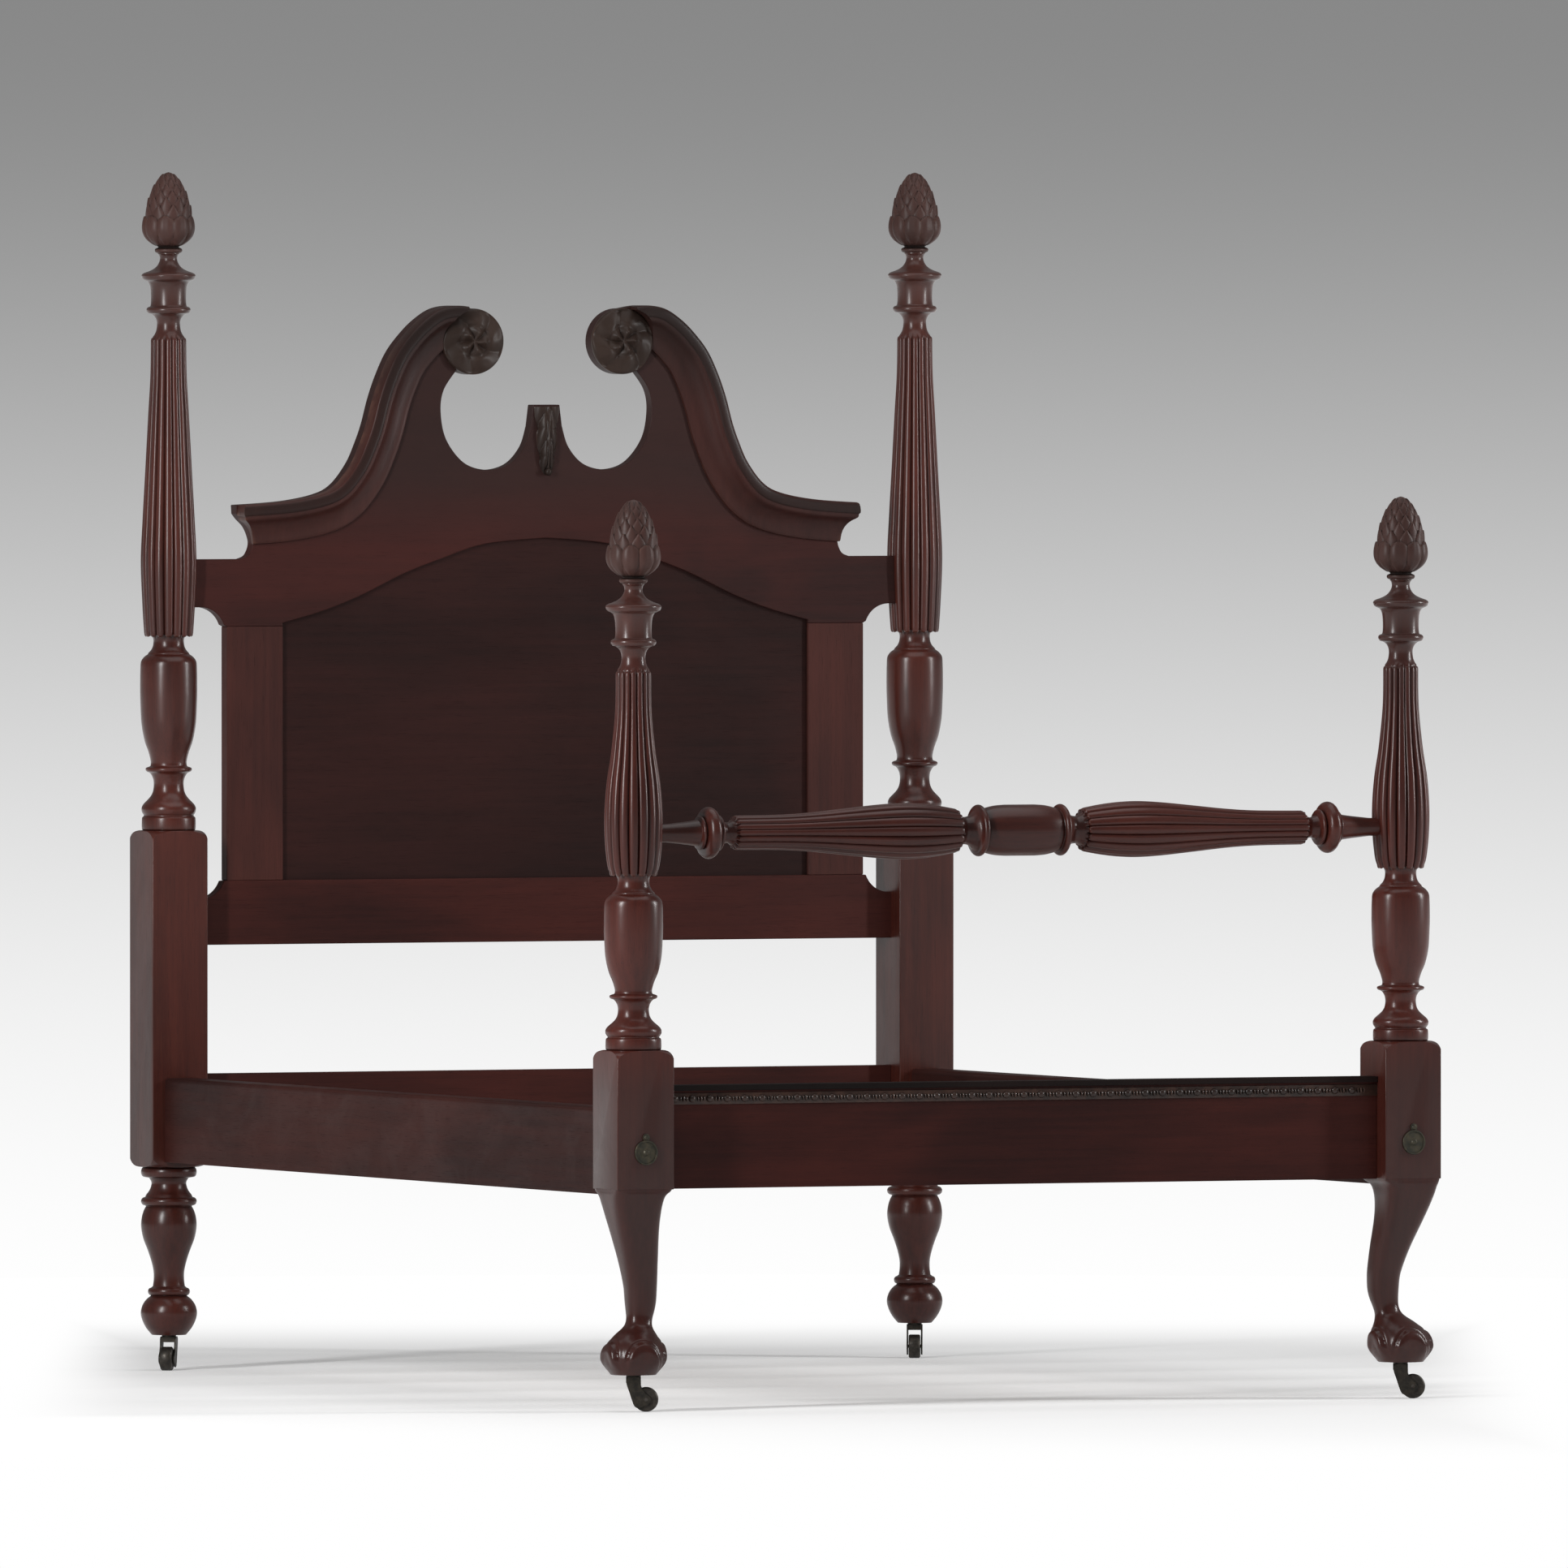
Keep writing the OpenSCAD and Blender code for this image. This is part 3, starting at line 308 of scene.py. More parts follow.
def finished(piece, material, body, nodes, angle=32):
    """Smooths a piece except at its edges, gives it its finish and puts it on its body."""
    alone(piece)
    bpy.ops.object.shade_smooth_by_angle(angle=math.radians(angle))
    piece.data.materials.clear()
    piece.data.materials.append(material)
    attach(piece, body)
    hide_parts(*nodes)


def box(name, middle, size, ease, segments):
    """A box with eased edges."""
    bpy.ops.object.select_all(action="DESELECT")
    bpy.ops.mesh.primitive_cube_add(size=1, location=[m * mm for m in middle], scale=[s * mm for s in size])
    piece = settled()
    piece.name = name
    bpy.ops.object.mode_set(mode="EDIT")
    bpy.ops.mesh.select_all(action="SELECT")
    bpy.ops.mesh.bevel(offset=ease * mm, segments=segments, affect="EDGES")
    bpy.ops.object.mode_set(mode="OBJECT")
    return piece


def post_block(name, x, y, low, high, pommel_low):
    """The square part of a post, with worn arrises and corners turned away at its ends."""
    piece = box(name, (x, y, (low + high) / 2), (block_w, block_w, high - low), ease=1.6, segments=3)
    corner_r, neck_r, pommel_h = 77.8, 50, 24
    turns = [math.pi / 2 * i / 8 for i in range(9)]
    shoulder = [(neck_r + (corner_r - neck_r) * math.cos(a), pommel_h * math.sin(a)) for a in turns]
    top = [(r, high - pommel_h + h) for r, h in shoulder]
    bottom = [(corner_r, low)]
    if pommel_low:
        bottom = [(r, low + pommel_h - h) for r, h in reversed(shoulder)]
    cut(piece, turned("pommel", [(0, low)] + bottom + top + [(0, high)], (x, y, 0), steps=96), "INTERSECT")
    return piece


def drilled(piece, x, y, out):
    """Counterbore for the head of the bed bolt, in the face of the block that looks out."""
    bore = [(0, -1), (counterbore_r, -1), (counterbore_r, counterbore_d), (0, counterbore_d)]
    cut(piece, turned("bore", bore, (x, y + out * block_w / 2, bolt_z), axis=(0, -out, 0), steps=48))


def pedestal_and_vase(z, pedestal_h, vase_h):
    """Turned work between a block's top at z and the lip of the reeds."""
    pedestal = [(46, 0), (48.2, 1.5), (48.8, 5), (48.9, 12), (48.6, 20), (47.8, 23.5), (45.5, 25.5),
                (45.2, 27.5), (46.2, 29), (48, 32), (49.2, 36), (49, 41), (46.8, 46), (43, 50.5),
                (37.5, 56), (32.5, 62), (29, 69), (27.4, 77), (27.2, 86), (28.6, 94), (32, 101),
                (35.5, 104.5), (38.5, 105.6), (41, 107.4), (42, 110), (41.2, 112.6), (38, 114.4)]
    vase = [(34, 4.8), (32.6, 8), (33, 16), (36.8, 31), (42.3, 46), (45.8, 60), (48.4, 75), (50, 90),
            (51.2, 119), (51.7, 139), (51.6, 164), (51.3, 178), (50.6, 191.5)]
    neck = [(48.2, 6), (43.5, 11.5), (38.5, 15), (37.2, 16.5), (36.6, 18), (32, 23), (29, 29),
            (27.7, 36), (28, 43), (30, 48), (32, 51)]
    line = [(r, z + h * pedestal_h / head_pedestal_h) for r, h in pedestal]
    line += [(r, z + pedestal_h + h * vase_h / head_vase_h) for r, h in vase]
    line += [(r, z + pedestal_h + vase_h + h) for r, h in neck]
    return curve(line, 3)


def crown(top):
    """Turned work between the reeds and the finial's seat."""
    line = [(28, 301), (25, 296.5), (22.3, 290), (21, 281), (21.6, 273), (24.5, 266), (29, 261.5),
            (33, 259.6), (36.5, 258.8), (39, 256), (39.9, 252.8), (39, 249.6), (36, 247.4), (33.4, 246.6),
            (32.2, 243), (31.7, 235), (32, 222), (33, 212), (35, 205.5), (38, 201.5), (42, 199.8),
            (46.5, 197.2), (48.6, 193), (48.9, 190.6), (47.4, 188), (43.4, 185.6), (37, 183.4),
            (30, 180.4), (24, 176.4), (19.6, 171.5), (16.6, 165.5), (15.7, 160.5), (16.8, 155),
            (19.3, 151.5)]
    return curve([(r, top - d) for r, d in line], 3)


def shaft(low, high, rows):
    """Outline of the reeded part, with a lip at each end of the reeds."""
    length = high - low
    body = [(r, low + share * length) for share, r in rows]
    body[0] = (body[0][0], low + 7)
    body[-1] = (body[-1][0], high - 5)
    lip_low = [(34, low + 6), (37, low + 1.5), (body[0][0] - 3.4, low), (body[0][0] - 0.9, low + 2)]
    lip_high = [(body[-1][0] - 0.8, high - 1.6), (body[-1][0] - 3, high)]
    return lip_low + curve(body, 8) + lip_high


def turned_post(name, x, y, block_top, top, pedestal_h, vase_h, rows):
    """Everything above a post's block, with its reeds carved."""
    reeds_low, reeds_high = block_top + pedestal_h + vase_h + neck_h, top - crown_h
    line = [(0, block_top - 2), (46, block_top - 2)] + pedestal_and_vase(block_top, pedestal_h, vase_h)
    line += shaft(reeds_low, reeds_high, rows) + crown(top) + [(19.3, top - seat_d), (0, top - seat_d)]
    piece = turned(name, line, (x, y, 0))
    reeded(piece, (x, y, 0), reeds_low, reeds_high)
    return piece


def head_leg(x, y, z, h):
    """Turned leg from the caster up to the block."""
    line = curve([(31, z), (41, z + 0.04 * h), (48, z + 0.085 * h), (51, z + 0.13 * h), (48, z + 0.175 * h),
                  (41, z + 0.21 * h), (33.5, z + 0.23 * h)])
    line += bead(z + 0.235 * h, 0.045 * h, 32.5, 5.5)
    line += curve([(29, z + 0.29 * h), (27.6, z + 0.33 * h), (28, z + 0.38 * h), (32, z + 0.44 * h),
                   (38.5, z + 0.505 * h), (46.5, z + 0.575 * h), (50.3, z + 0.645 * h), (49, z + 0.7 * h),
                   (45.5, z + 0.74 * h), (41.5, z + 0.765 * h)])
    line += bead(z + 0.77 * h, 0.05 * h, 43, 7.5)
    line += curve([(41, z + 0.835 * h), (34.5, z + 0.865 * h), (31.5, z + 0.905 * h), (36, z + 0.935 * h)])
    line += bead(z + 0.94 * h, 0.06 * h, 45, 5.5)
    return turned("leg", [(0, z)] + line + [(0, z + h)], (x, y, 0))


post_wood = mahogany(
    "post_mahogany", "Z", deep=(0.028, 0.0068, 0.005), warm=(0.09, 0.0198, 0.0128),
    shine=0.27, polish=0.62, figure=0.8, grime_and_shade=0.42)
tinted(post_wood, "Z", 1820, 1930, 0.45, (0.064, 0.036, 0.031))
head_reeds = ((0, 44.5), (0.1, 47.5), (0.25, 50.5), (0.4, 47),
              (0.55, 42.5), (0.74, 37), (0.87, 33), (1, 32))
for side, x in (("left", -post_x), ("right", post_x)):
    block = post_block("block", x, post_y, head_block_low, head_block_top, True)
    drilled(block, x, post_y, 1)
    post = joined("head_post_" + side + "_carved", [
        turned_post("post", x, post_y, head_block_top, head_top, head_pedestal_h, head_vase_h, head_reeds),
        block, head_leg(x, post_y, foot_low, head_block_low - foot_low)])
    finished(post, post_wood, "bed", ["head_post_" + side])


# Foot posts
# The same turning, shorter, over a block with a cabriole leg that bends out to the corner and ends
# in a carved ball held by a claw. Leg, block and shaft are one piece of wood.
foot_block_low, foot_block_top, foot_top = 389, 632, 1597
foot_pedestal_h, foot_vase_h = 94, 163
foot_reeds = ((0, 42), (0.06, 46), (0.17, 50), (0.3, 50.8), (0.45, 47), (0.6, 39), (0.8, 32), (1, 31))
leg_rows = ((327.2, -54, 54, 40), (320.9, -50.5, 53.9, 16), (314, -44.5, 53.6, 7), (297.7, -41, 50.5, 5),
            (275.9, -40.5, 44.5, 4), (254, -41.5, 37, 3.6), (232.2, -43.5, 29, 3.4), (210.3, -46, 21, 3.2),
            (188.5, -48, 14, 3), (166.7, -49.8, 8, 2.8), (150.3, -50.4, 4.6, 2.7), (128.4, -49.6, 3, 2.6),
            (112, -46.4, 2.2, 2.5), (99, -42.2, 2.4, 2.4), (88.5, -40, 6, 2.3), (80.5, -40.4, 13.5, 2.25),
            (71, -43.4, 27, 2.2), (59, -48, 39.6, 2.2), (45, -51, 48, 2.2), (32, -51.6, 51, 2.25),
            (20.6, -50, 50, 2.3), (11, -46, 46.4, 2.3), (4.4, -41.4, 42, 2.3), (0, -38, 38.6, 2.3))


def cabriole(x, y, way, rows):
    """A leg of squared rings, each extruded from the one above it and squared anew."""
    def ring_shape(n):
        turns = [math.tau / 64 * i for i in range(9)]
        return [1 / (math.cos(a) ** n + math.sin(a) ** n) ** (1 / n) for a in turns]

    stations = curve(rows, 4)
    height, inner, outer, n = stations[0]
    out, size, was = (inner + outer) / 2, (outer - inner) / 2, [1] * 9
    spot = Vector((x + way * out, y - out, foot_low + height)) * mm
    bpy.ops.object.select_all(action="DESELECT")
    bpy.ops.mesh.primitive_circle_add(vertices=64, radius=size * mm, fill_type="NGON", location=spot)
    leg = settled()
    work_on(leg)
    for i, (height, inner, outer, n) in enumerate(stations):
        out = (inner + outer) / 2
        there = Vector((x + way * out, y - out, foot_low + height)) * mm
        if i:
            pick(lambda co: abs(co.z - spot.z) < 0.05 * mm)
            bpy.ops.mesh.extrude_region_move(TRANSFORM_OT_translate={"value": there - spot})
        now, scale = ring_shape(n), (outer - inner) / 2 / size
        for k in range(9):
            def in_fold(co):
                if abs(co.z - there.z) > 0.05 * mm:
                    return False
                turn = math.atan2(co.y - there.y, co.x - there.x) / math.tau * 4
                return abs(abs(turn - round(turn)) * 16 - k) < 0.3
            pick(in_fold)
            grow = scale * now[k] / was[k]
            bpy.ops.transform.resize(value=(grow, grow, 1), center_override=there)
        spot, size, was = there, (outer - inner) / 2, now
    closed()
    worked(leg, "SUBSURF", levels=1, render_levels=1)
    return leg


def eased_step(value, low, high):
    """From 0 at low to 1 at high, slow at both ends."""
    t = min(1, max(0, (value - low) / (high - low)))
    return t * t * (3 - 2 * t)


def claw(leg, x, y, way):
    """Carves an arch into each side of the foot, where the ball shows under a raised lip."""
    arch_half, arch_low, arch_h, ankle_h = 32.5, 20, 40, 78

    def arch_and_ball(co):
        h = co.z / mm - foot_low
        if h > ankle_h:
            return
        middle = -7 * eased_step(h, 56, ankle_h)
        off = (co.x / mm - x - way * middle, co.y / mm - y + middle)
        along, across = (0, 1) if abs(off[0]) > abs(off[1]) else (1, 0)
        arch = math.hypot(off[across] / arch_half, max(0, h - arch_low) / arch_h)
        recess = -6.6 * eased_step(1.0 - arch, 0, 0.13)
        ball = 4.6 * eased_step(0.84 - arch, 0, 0.6)
        lip = 1.8 * math.exp(-((arch - 1.1) / 0.08) ** 2)
        rise = (recess + ball + lip) * eased_step(h, 4, 30)
        co[along] += math.copysign(rise, off[along]) * mm

    carved(leg, arch_and_ball)


foot_wood = mahogany(
    "foot_post_mahogany", "Z", deep=(0.028, 0.0066, 0.005), warm=(0.094, 0.019, 0.0122),
    shine=0.26, polish=0.58, figure=0.8, grime_and_shade=0.42)
tinted(foot_wood, "Z", 650, 560, 0.6, (0.026, 0.0066, 0.0048))
tinted(foot_wood, "Z", 1250, 1350, 0.45, (0.064, 0.036, 0.031))
for side, way in (("left", -1), ("right", 1)):
    x, y = way * post_x, -post_y
    block = post_block("block", x, y, foot_block_low, foot_block_top, False)
    drilled(block, x, y, -1)
    leg = cabriole(x, y, way, leg_rows)
    claw(leg, x, y, way)
    post = joined("foot_post_" + side + "_carved", [
        turned_post("post", x, y, foot_block_top, foot_top, foot_pedestal_h, foot_vase_h, foot_reeds),
        block, leg])
    finished(post, foot_wood, "bed", ["foot_post_" + side], angle=40)


# Finials
# Four pineapples, each turned as an egg on a small foot and carved: nine broad petals make a cup,
# and pointed scales overlap above it in staggered rows. A dowel holds each in its post.
# The finials' hollows are painted nearly black, part grime and part painted shade, and their raised edges
# paler, part wear and part painted highlight.
finial_wood = mahogany(
    "finial_mahogany", "Z", deep=(0.036, 0.0185, 0.0155), warm=(0.112, 0.052, 0.044),
    shine=0.42, polish=0.32, figure=0.3, grime_and_shade=0.97, wear_and_highlight=0.9)
egg = curve([(20, 150), (23.4, 148.6), (24.9, 145.6), (24.2, 142.6), (21, 140.8), (18.6, 139.6),
             (20, 137.8), (25.6, 134.8), (33, 129.5), (39, 122.5), (42.6, 113.5), (43.6, 103.5),
             (42.8, 92), (41, 82), (38.6, 69), (35.4, 56), (31.2, 43), (25.8, 30.5), (19.2, 19.5),
             (12, 10.5), (6, 5.6), (0, 3.8)], 2)
petals = 9
scales = ((95, 63), (79, 49.5), (65, 37), (51, 25.5), (38, 15), (25, 7))


def egg_radius(d):
    """Radius of the egg under the carving, at a depth below the top."""
    rows = [(h, r) for r, h in egg if h < 139]
    for (high, r1), (low, r2) in zip(rows, rows[1:]):
        if low <= d <= high:
            return r2 + (r1 - r2) * (d - low) / max(high - low, 1e-6)
    return 0


def scale_row(x, y, top, turn, low, tip, width, lift, blunt):
    """A row of petals or scales: one strip, shaped and thickened, then copied round the egg."""
    rows, columns = 10, 6
    half = math.pi / petals * width
    spots = []
    for i in range(rows):
        t = i / (rows - 1)
        d = low + (tip - low) * t
        out = lift[0] * (1 - t) + lift[1] * t + lift[2] * math.sin(math.pi * t)
        spots.append((max(egg_radius(d), 4) + out, top - d))
    line = [Vector((x + r * math.cos(half), y + r * math.sin(half), z)) * mm for r, z in spots]
    piece = drawn("scale", line)
    bpy.ops.mesh.select_all(action="SELECT")
    bpy.ops.mesh.spin(steps=columns, angle=2 * half, center=(x * mm, y * mm, 0), axis=(0, 0, 1))
    for i, (r, z) in enumerate(spots):
        t = i / (rows - 1)
        if blunt:
            tip_off = 0.9 * max(0, (t - 0.8) / 0.2) ** 3
            keep = (0.62 + 0.38 * min(1, t / 0.35)) * math.sqrt(max(0.02, 1 - tip_off))
            drops = ((1.0, 3.6), (0.667, 1.1), (0, 1.2))
        else:
            keep = max(0.03, (1 - max(0, (t - 0.4) / 0.6) ** 1.2)) * (0.8 + 0.2 * min(1, t / 0.4))
            drops = ((1.0, 2.2), (0.667, 0.7))
        pick(lambda co: abs(co.z - z * mm) < 0.01 * mm)
        bpy.ops.transform.resize(value=(keep, keep, 1), center_override=((x + r) * mm, y * mm, z * mm))
        for edge, drop in drops:
            pick(lambda co: abs(co.z - z * mm) < 0.01 * mm
                 and abs(abs(co.y / mm - y) - r * math.sin(half * edge) * keep) < 0.05 + 0.02 * r * keep)
            bpy.ops.transform.translate(value=(-drop * mm, 0, 0))
    bpy.ops.mesh.select_all(action="SELECT")
    bpy.ops.mesh.normals_make_consistent(inside=False)
    bpy.ops.object.mode_set(mode="OBJECT")
    worked(piece, "SOLIDIFY", thickness=2.6 * mm, offset=0)
    worked(piece, "SUBSURF", levels=1, render_levels=1)
    work_on(piece)
    bpy.ops.mesh.select_all(action="SELECT")
    bpy.ops.mesh.spin(steps=petals - 1, angle=math.tau * (petals - 1) / petals, dupli=True,
                      center=(x * mm, y * mm, 0), axis=(0, 0, 1))
    bpy.ops.mesh.select_all(action="SELECT")
    if turn:
        bpy.ops.transform.rotate(value=math.pi / petals, orient_axis="Z",
                                 center_override=(x * mm, y * mm, 0))
    bpy.ops.object.mode_set(mode="OBJECT")
    return piece


for end, y, top in (("head", post_y, head_top), ("foot", -post_y, foot_top)):
    for side, x in (("left", -post_x), ("right", post_x)):
        parts = [turned("egg", [(0, seat_d)] + egg, (x, y, top), axis=(0, 0, -1), steps=96),
                 scale_row(x, y, top, turn=False, low=137, tip=83, width=0.97, lift=(0.5, 2.8, 2.4),
                           blunt=True)]
        for i, (low, tip) in enumerate(scales):
            lift = (-2.4, 2.5 - 0.2 * i, 0.8)
            parts.append(scale_row(x, y, top, i % 2 == 0, low, tip, width=0.98, lift=lift, blunt=False))
        finial = joined(end + "_finial_" + side + "_carved", parts)
        finished(finial, finial_wood, "bed", [end + "_finial_" + side])


# Headboard
# A frame of inch-thick mahogany round a recessed flat panel: two upright stiles, a bottom rail with
# ears that are let into the posts, and a crest sawn to a swan-neck pediment. All edges are eased.
board_t, board_face = 26, 1032
inner_w, ear_reach = 1372, 702
board_low, lower_ear_h, panel_low = 769, 84, 885
stile_in, stile_out, crest_low = 521, 631, 1345
ear_low, ear_h = 1380, 87
rosette_x, rosette_z, rosette_r = 148, 1860, 60
swan_reach, swan_low = 613, 1565
plinth_half, plinth_top = 26, 1745
cove_x, cove_r = inner_w / 2 - 4, 48


def arc(cx, cz, r, start, end, steps=16):
    turns = [math.radians(start + (end - start) * i / steps) for i in range(steps + 1)]
    return [(cx + r * math.cos(a), cz + r * math.sin(a)) for a in turns]


def swan_edge(steps=8):
    """Outer edge of the right swan neck, from the top of its rosette to its tip."""
    rows = ((0, 1), (0.08, 1.015), (0.16, 0.998), (0.23, 0.942), (0.29, 0.868), (0.345, 0.777),
            (0.389, 0.66), (0.422, 0.542), (0.45, 0.41), (0.477, 0.315), (0.515, 0.21), (0.58, 0.104),
            (0.656, 0.053), (0.8, 0.018), (1, 0))
    return [(rosette_x + a * (swan_reach - rosette_x), swan_low + b * (rosette_z + rosette_r - swan_low))
            for a, b in curve(rows, steps)]


def scroll_edge():
    """Edge of the right scroll opening, from the rosette down and up to the plinth."""
    rows = ((0.83, 1.0), (0.967, 0.802), (1, 0.581), (0.94, 0.304), (0.749, 0.072), (0.503, 0),
            (0.262, 0.055), (0.098, 0.227), (0.027, 0.437))
    wide, low = rosette_x + rosette_r + 1 - plinth_half, 1627
    high = rosette_z - rosette_r * math.sin(math.radians(60))
    return [(plinth_half + a * wide, low + b * (high - low)) for a, b in curve(rows, 8)]


def arch_edge():
    rows = ((1, 0), (0.858, 0.13), (0.713, 0.31), (0.542, 0.58), (0.4, 0.755), (0.233, 0.93), (0, 1))
    return [(a * stile_in, crest_low + 6 + b * 152) for a, b in curve(rows, 6)]


def board(name, half_outline):
    """A board sawn to an outline that is the same on both sides of the middle, its edges eased."""
    outline = list(half_outline) + [(-a, b) for a, b in reversed(half_outline)]
    kept = [p for i, p in enumerate(outline) if math.dist(p, outline[i - 1]) > 0.4]
    piece = drawn(name, [Vector((a, board_face, b)) * mm for a, b in kept])
    bpy.ops.mesh.select_all(action="SELECT")
    bpy.ops.mesh.edge_face_add()
    bpy.ops.mesh.extrude_region_move(TRANSFORM_OT_translate={"value": (0, board_t * mm, 0)})
    closed()
    worked(piece, "BEVEL", width=1.6 * mm, segments=3, limit_method="ANGLE", angle_limit=math.radians(50))
    return piece


tip = curve([(swan_reach - 10, ear_low + ear_h), (swan_reach - 25, ear_low + ear_h + 7),
             (swan_reach - 33, swan_low - 72), (swan_reach - 30, swan_low - 55),
             (swan_reach - 22, swan_low - 39), (swan_reach - 9, swan_low - 26),
             (swan_reach - 1, swan_low - 16)], 4)
crest_half = (list(reversed(arch_edge())) + [(stile_in, crest_low), (stile_out, crest_low)]
              + arc(cove_x, ear_low - cove_r, cove_r, 160, 90)
              + [(ear_reach, ear_low), (ear_reach, ear_low + ear_h)]
              + tip + list(reversed(swan_edge())) + arc(rosette_x, rosette_z, rosette_r, 90, 300, 40)
              + scroll_edge() + [(plinth_half, plinth_top)])

crest_wood = mahogany(
    "crest_mahogany", "X", deep=(0.022, 0.0092, 0.0084), warm=(0.066, 0.0168, 0.0138),
    shine=0.42, polish=0.14, figure=0.45, wear_and_highlight=0)
tinted(crest_wood, "Z", 1490, 1610, 0.75, (0.0285, 0.0152, 0.0138))
finished(board("headboard_crest_sawn", crest_half), crest_wood, "bed",
         ["headboard_crest"], 12)

rail_half = ([(ear_reach, board_low), (ear_reach, board_low + lower_ear_h)]
             + arc(cove_x, board_low + lower_ear_h + cove_r, cove_r, 270, 200) + [(stile_out, panel_low)])
rail_wood = mahogany(
    "rail_mahogany", "X", deep=(0.022, 0.0072, 0.0064), warm=(0.066, 0.0158, 0.012),
    shine=0.42, polish=0.14, figure=0.6, wear_and_highlight=0)
finished(board("headboard_bottom_rail_sawn", rail_half), rail_wood, "bed",
         ["headboard_bottom_rail"], 12)

stile_wood = mahogany(
    "stile_mahogany", "Z", deep=(0.03, 0.0128, 0.0115), warm=(0.076, 0.024, 0.019),
    shine=0.42, polish=0.14, figure=0.7, wear_and_highlight=0)


def eased_solid(node, material, width=1.4):
    """Keeps a solid from the frame, with its edges eased and its own finish."""
    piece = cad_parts[node]
    weld = piece.modifiers.new("weld", "WELD")
    weld.merge_threshold = 0.01 * mm
    edge = piece.modifiers.new("eased", "BEVEL")
    edge.width, edge.segments = width * mm, 2
    edge.limit_method, edge.angle_limit = "ANGLE", math.radians(50)
    edge.harden_normals = True
    piece.data.materials.clear()
    piece.data.materials.append(material)


for node in ("headboard_stile_left", "headboard_stile_right"):
    eased_solid(node, stile_wood, 1.6)
panel_wood = mahogany(
    "panel_mahogany", "X", deep=(0.014, 0.0062, 0.0056), warm=(0.036, 0.0115, 0.0098),
    shine=0.46, polish=0.12, figure=0.6, wear_and_highlight=0)
eased_solid("headboard_panel", panel_wood)


# Swan-neck mouldings
# A separate moulding glued along each swan neck: a fillet on the outer edge, a deep cove and a thin
# inner bead. It is mitred and returned at its lower end; the upper one dies against the rosette.
moulding = [(0, -1), (0, 29), (1, 31.4), (3, 33), (8, 34.2), (14, 34.8), (18.4, 34.6), (20, 33.6),
            (21, 32.4), (23, 32), (25.4, 31.9), (27.6, 30.8), (30.5, 27), (34, 21.8), (39, 16.8),
            (45, 12.8), (52, 9.8), (59, 8), (66, 7), (71, 6.4), (72.4, 5.4), (73, 3.6), (73, -1)]
moulding_wood = mahogany(
    "moulding_mahogany", "Z", deep=(0.022, 0.0082, 0.0072), warm=(0.064, 0.0205, 0.0165),
    shine=0.34, polish=0.26, figure=0.6)
tinted(moulding_wood, "Z", 1740, 1870, 0.7, (0.017, 0.0098, 0.0085))
tinted(moulding_wood, "Y", board_face - 31.8, board_face - 33.6, 0.72, (0.013, 0.0085, 0.0075))
for side, way in (("left", -1), ("right", 1)):
    path = swan_edge(7)
    path[-1] = (swan_reach, swan_low)

    def facing(i):
        a, b = path[max(i - 1, 0)], path[min(i + 1, len(path) - 1)]
        return math.atan2(b[1] - a[1], b[0] - a[0])

    a, (start_x, start_z) = facing(0), path[0]
    spots = [(start_x + d * math.sin(a), board_face - h, start_z - d * math.cos(a)) for d, h in moulding]
    piece = drawn("moulding", [Vector(spot) * mm for spot in spots])
    bpy.ops.mesh.select_all(action="SELECT")
    bpy.ops.mesh.edge_face_add()
    for i in range(1, len(path)):
        step = Vector((path[i][0] - path[i - 1][0], 0, path[i][1] - path[i - 1][1])) * mm
        bpy.ops.mesh.extrude_region_move(TRANSFORM_OT_translate={"value": step})
        bpy.ops.transform.rotate(value=facing(i) - facing(i - 1), orient_axis="Y",
                                 center_override=Vector((path[i][0], board_face, path[i][1])) * mm)
    bpy.ops.mesh.select_all(action="SELECT")
    bpy.ops.mesh.bisect(plane_co=((swan_reach - 3) * mm, (board_face - 34) * mm, 0), plane_no=(1, 1, 0),
                        use_fill=True, clear_outer=True)
    bpy.ops.mesh.extrude_region_move()
    bpy.ops.transform.resize(value=(1, 0, 1), center_override=(0, (board_face + 1) * mm, 0))
    bpy.ops.mesh.select_all(action="SELECT")
    bpy.ops.mesh.bisect(plane_co=((rosette_x + 18) * mm, 0, 0), plane_no=(1, 0, 0), use_fill=True,
                        clear_inner=True)
    closed()
    cut(piece, turned("seat", [(0, -2), (rosette_r + 0.2, -2), (rosette_r + 0.2, 60), (0, 60)],
                      (rosette_x, board_face + 3, rosette_z), axis=(0, -1, 0), steps=96))
    if way < 0:
        bpy.ops.transform.resize(value=(-1, 1, 1), center_override=(0, 0, 0))
        settled()
        work_on(piece)
        closed()
    piece.name = piece.data.name = "swan_moulding_" + side + "_run"
    finished(piece, moulding_wood, "bed", ["swan_moulding_" + side])


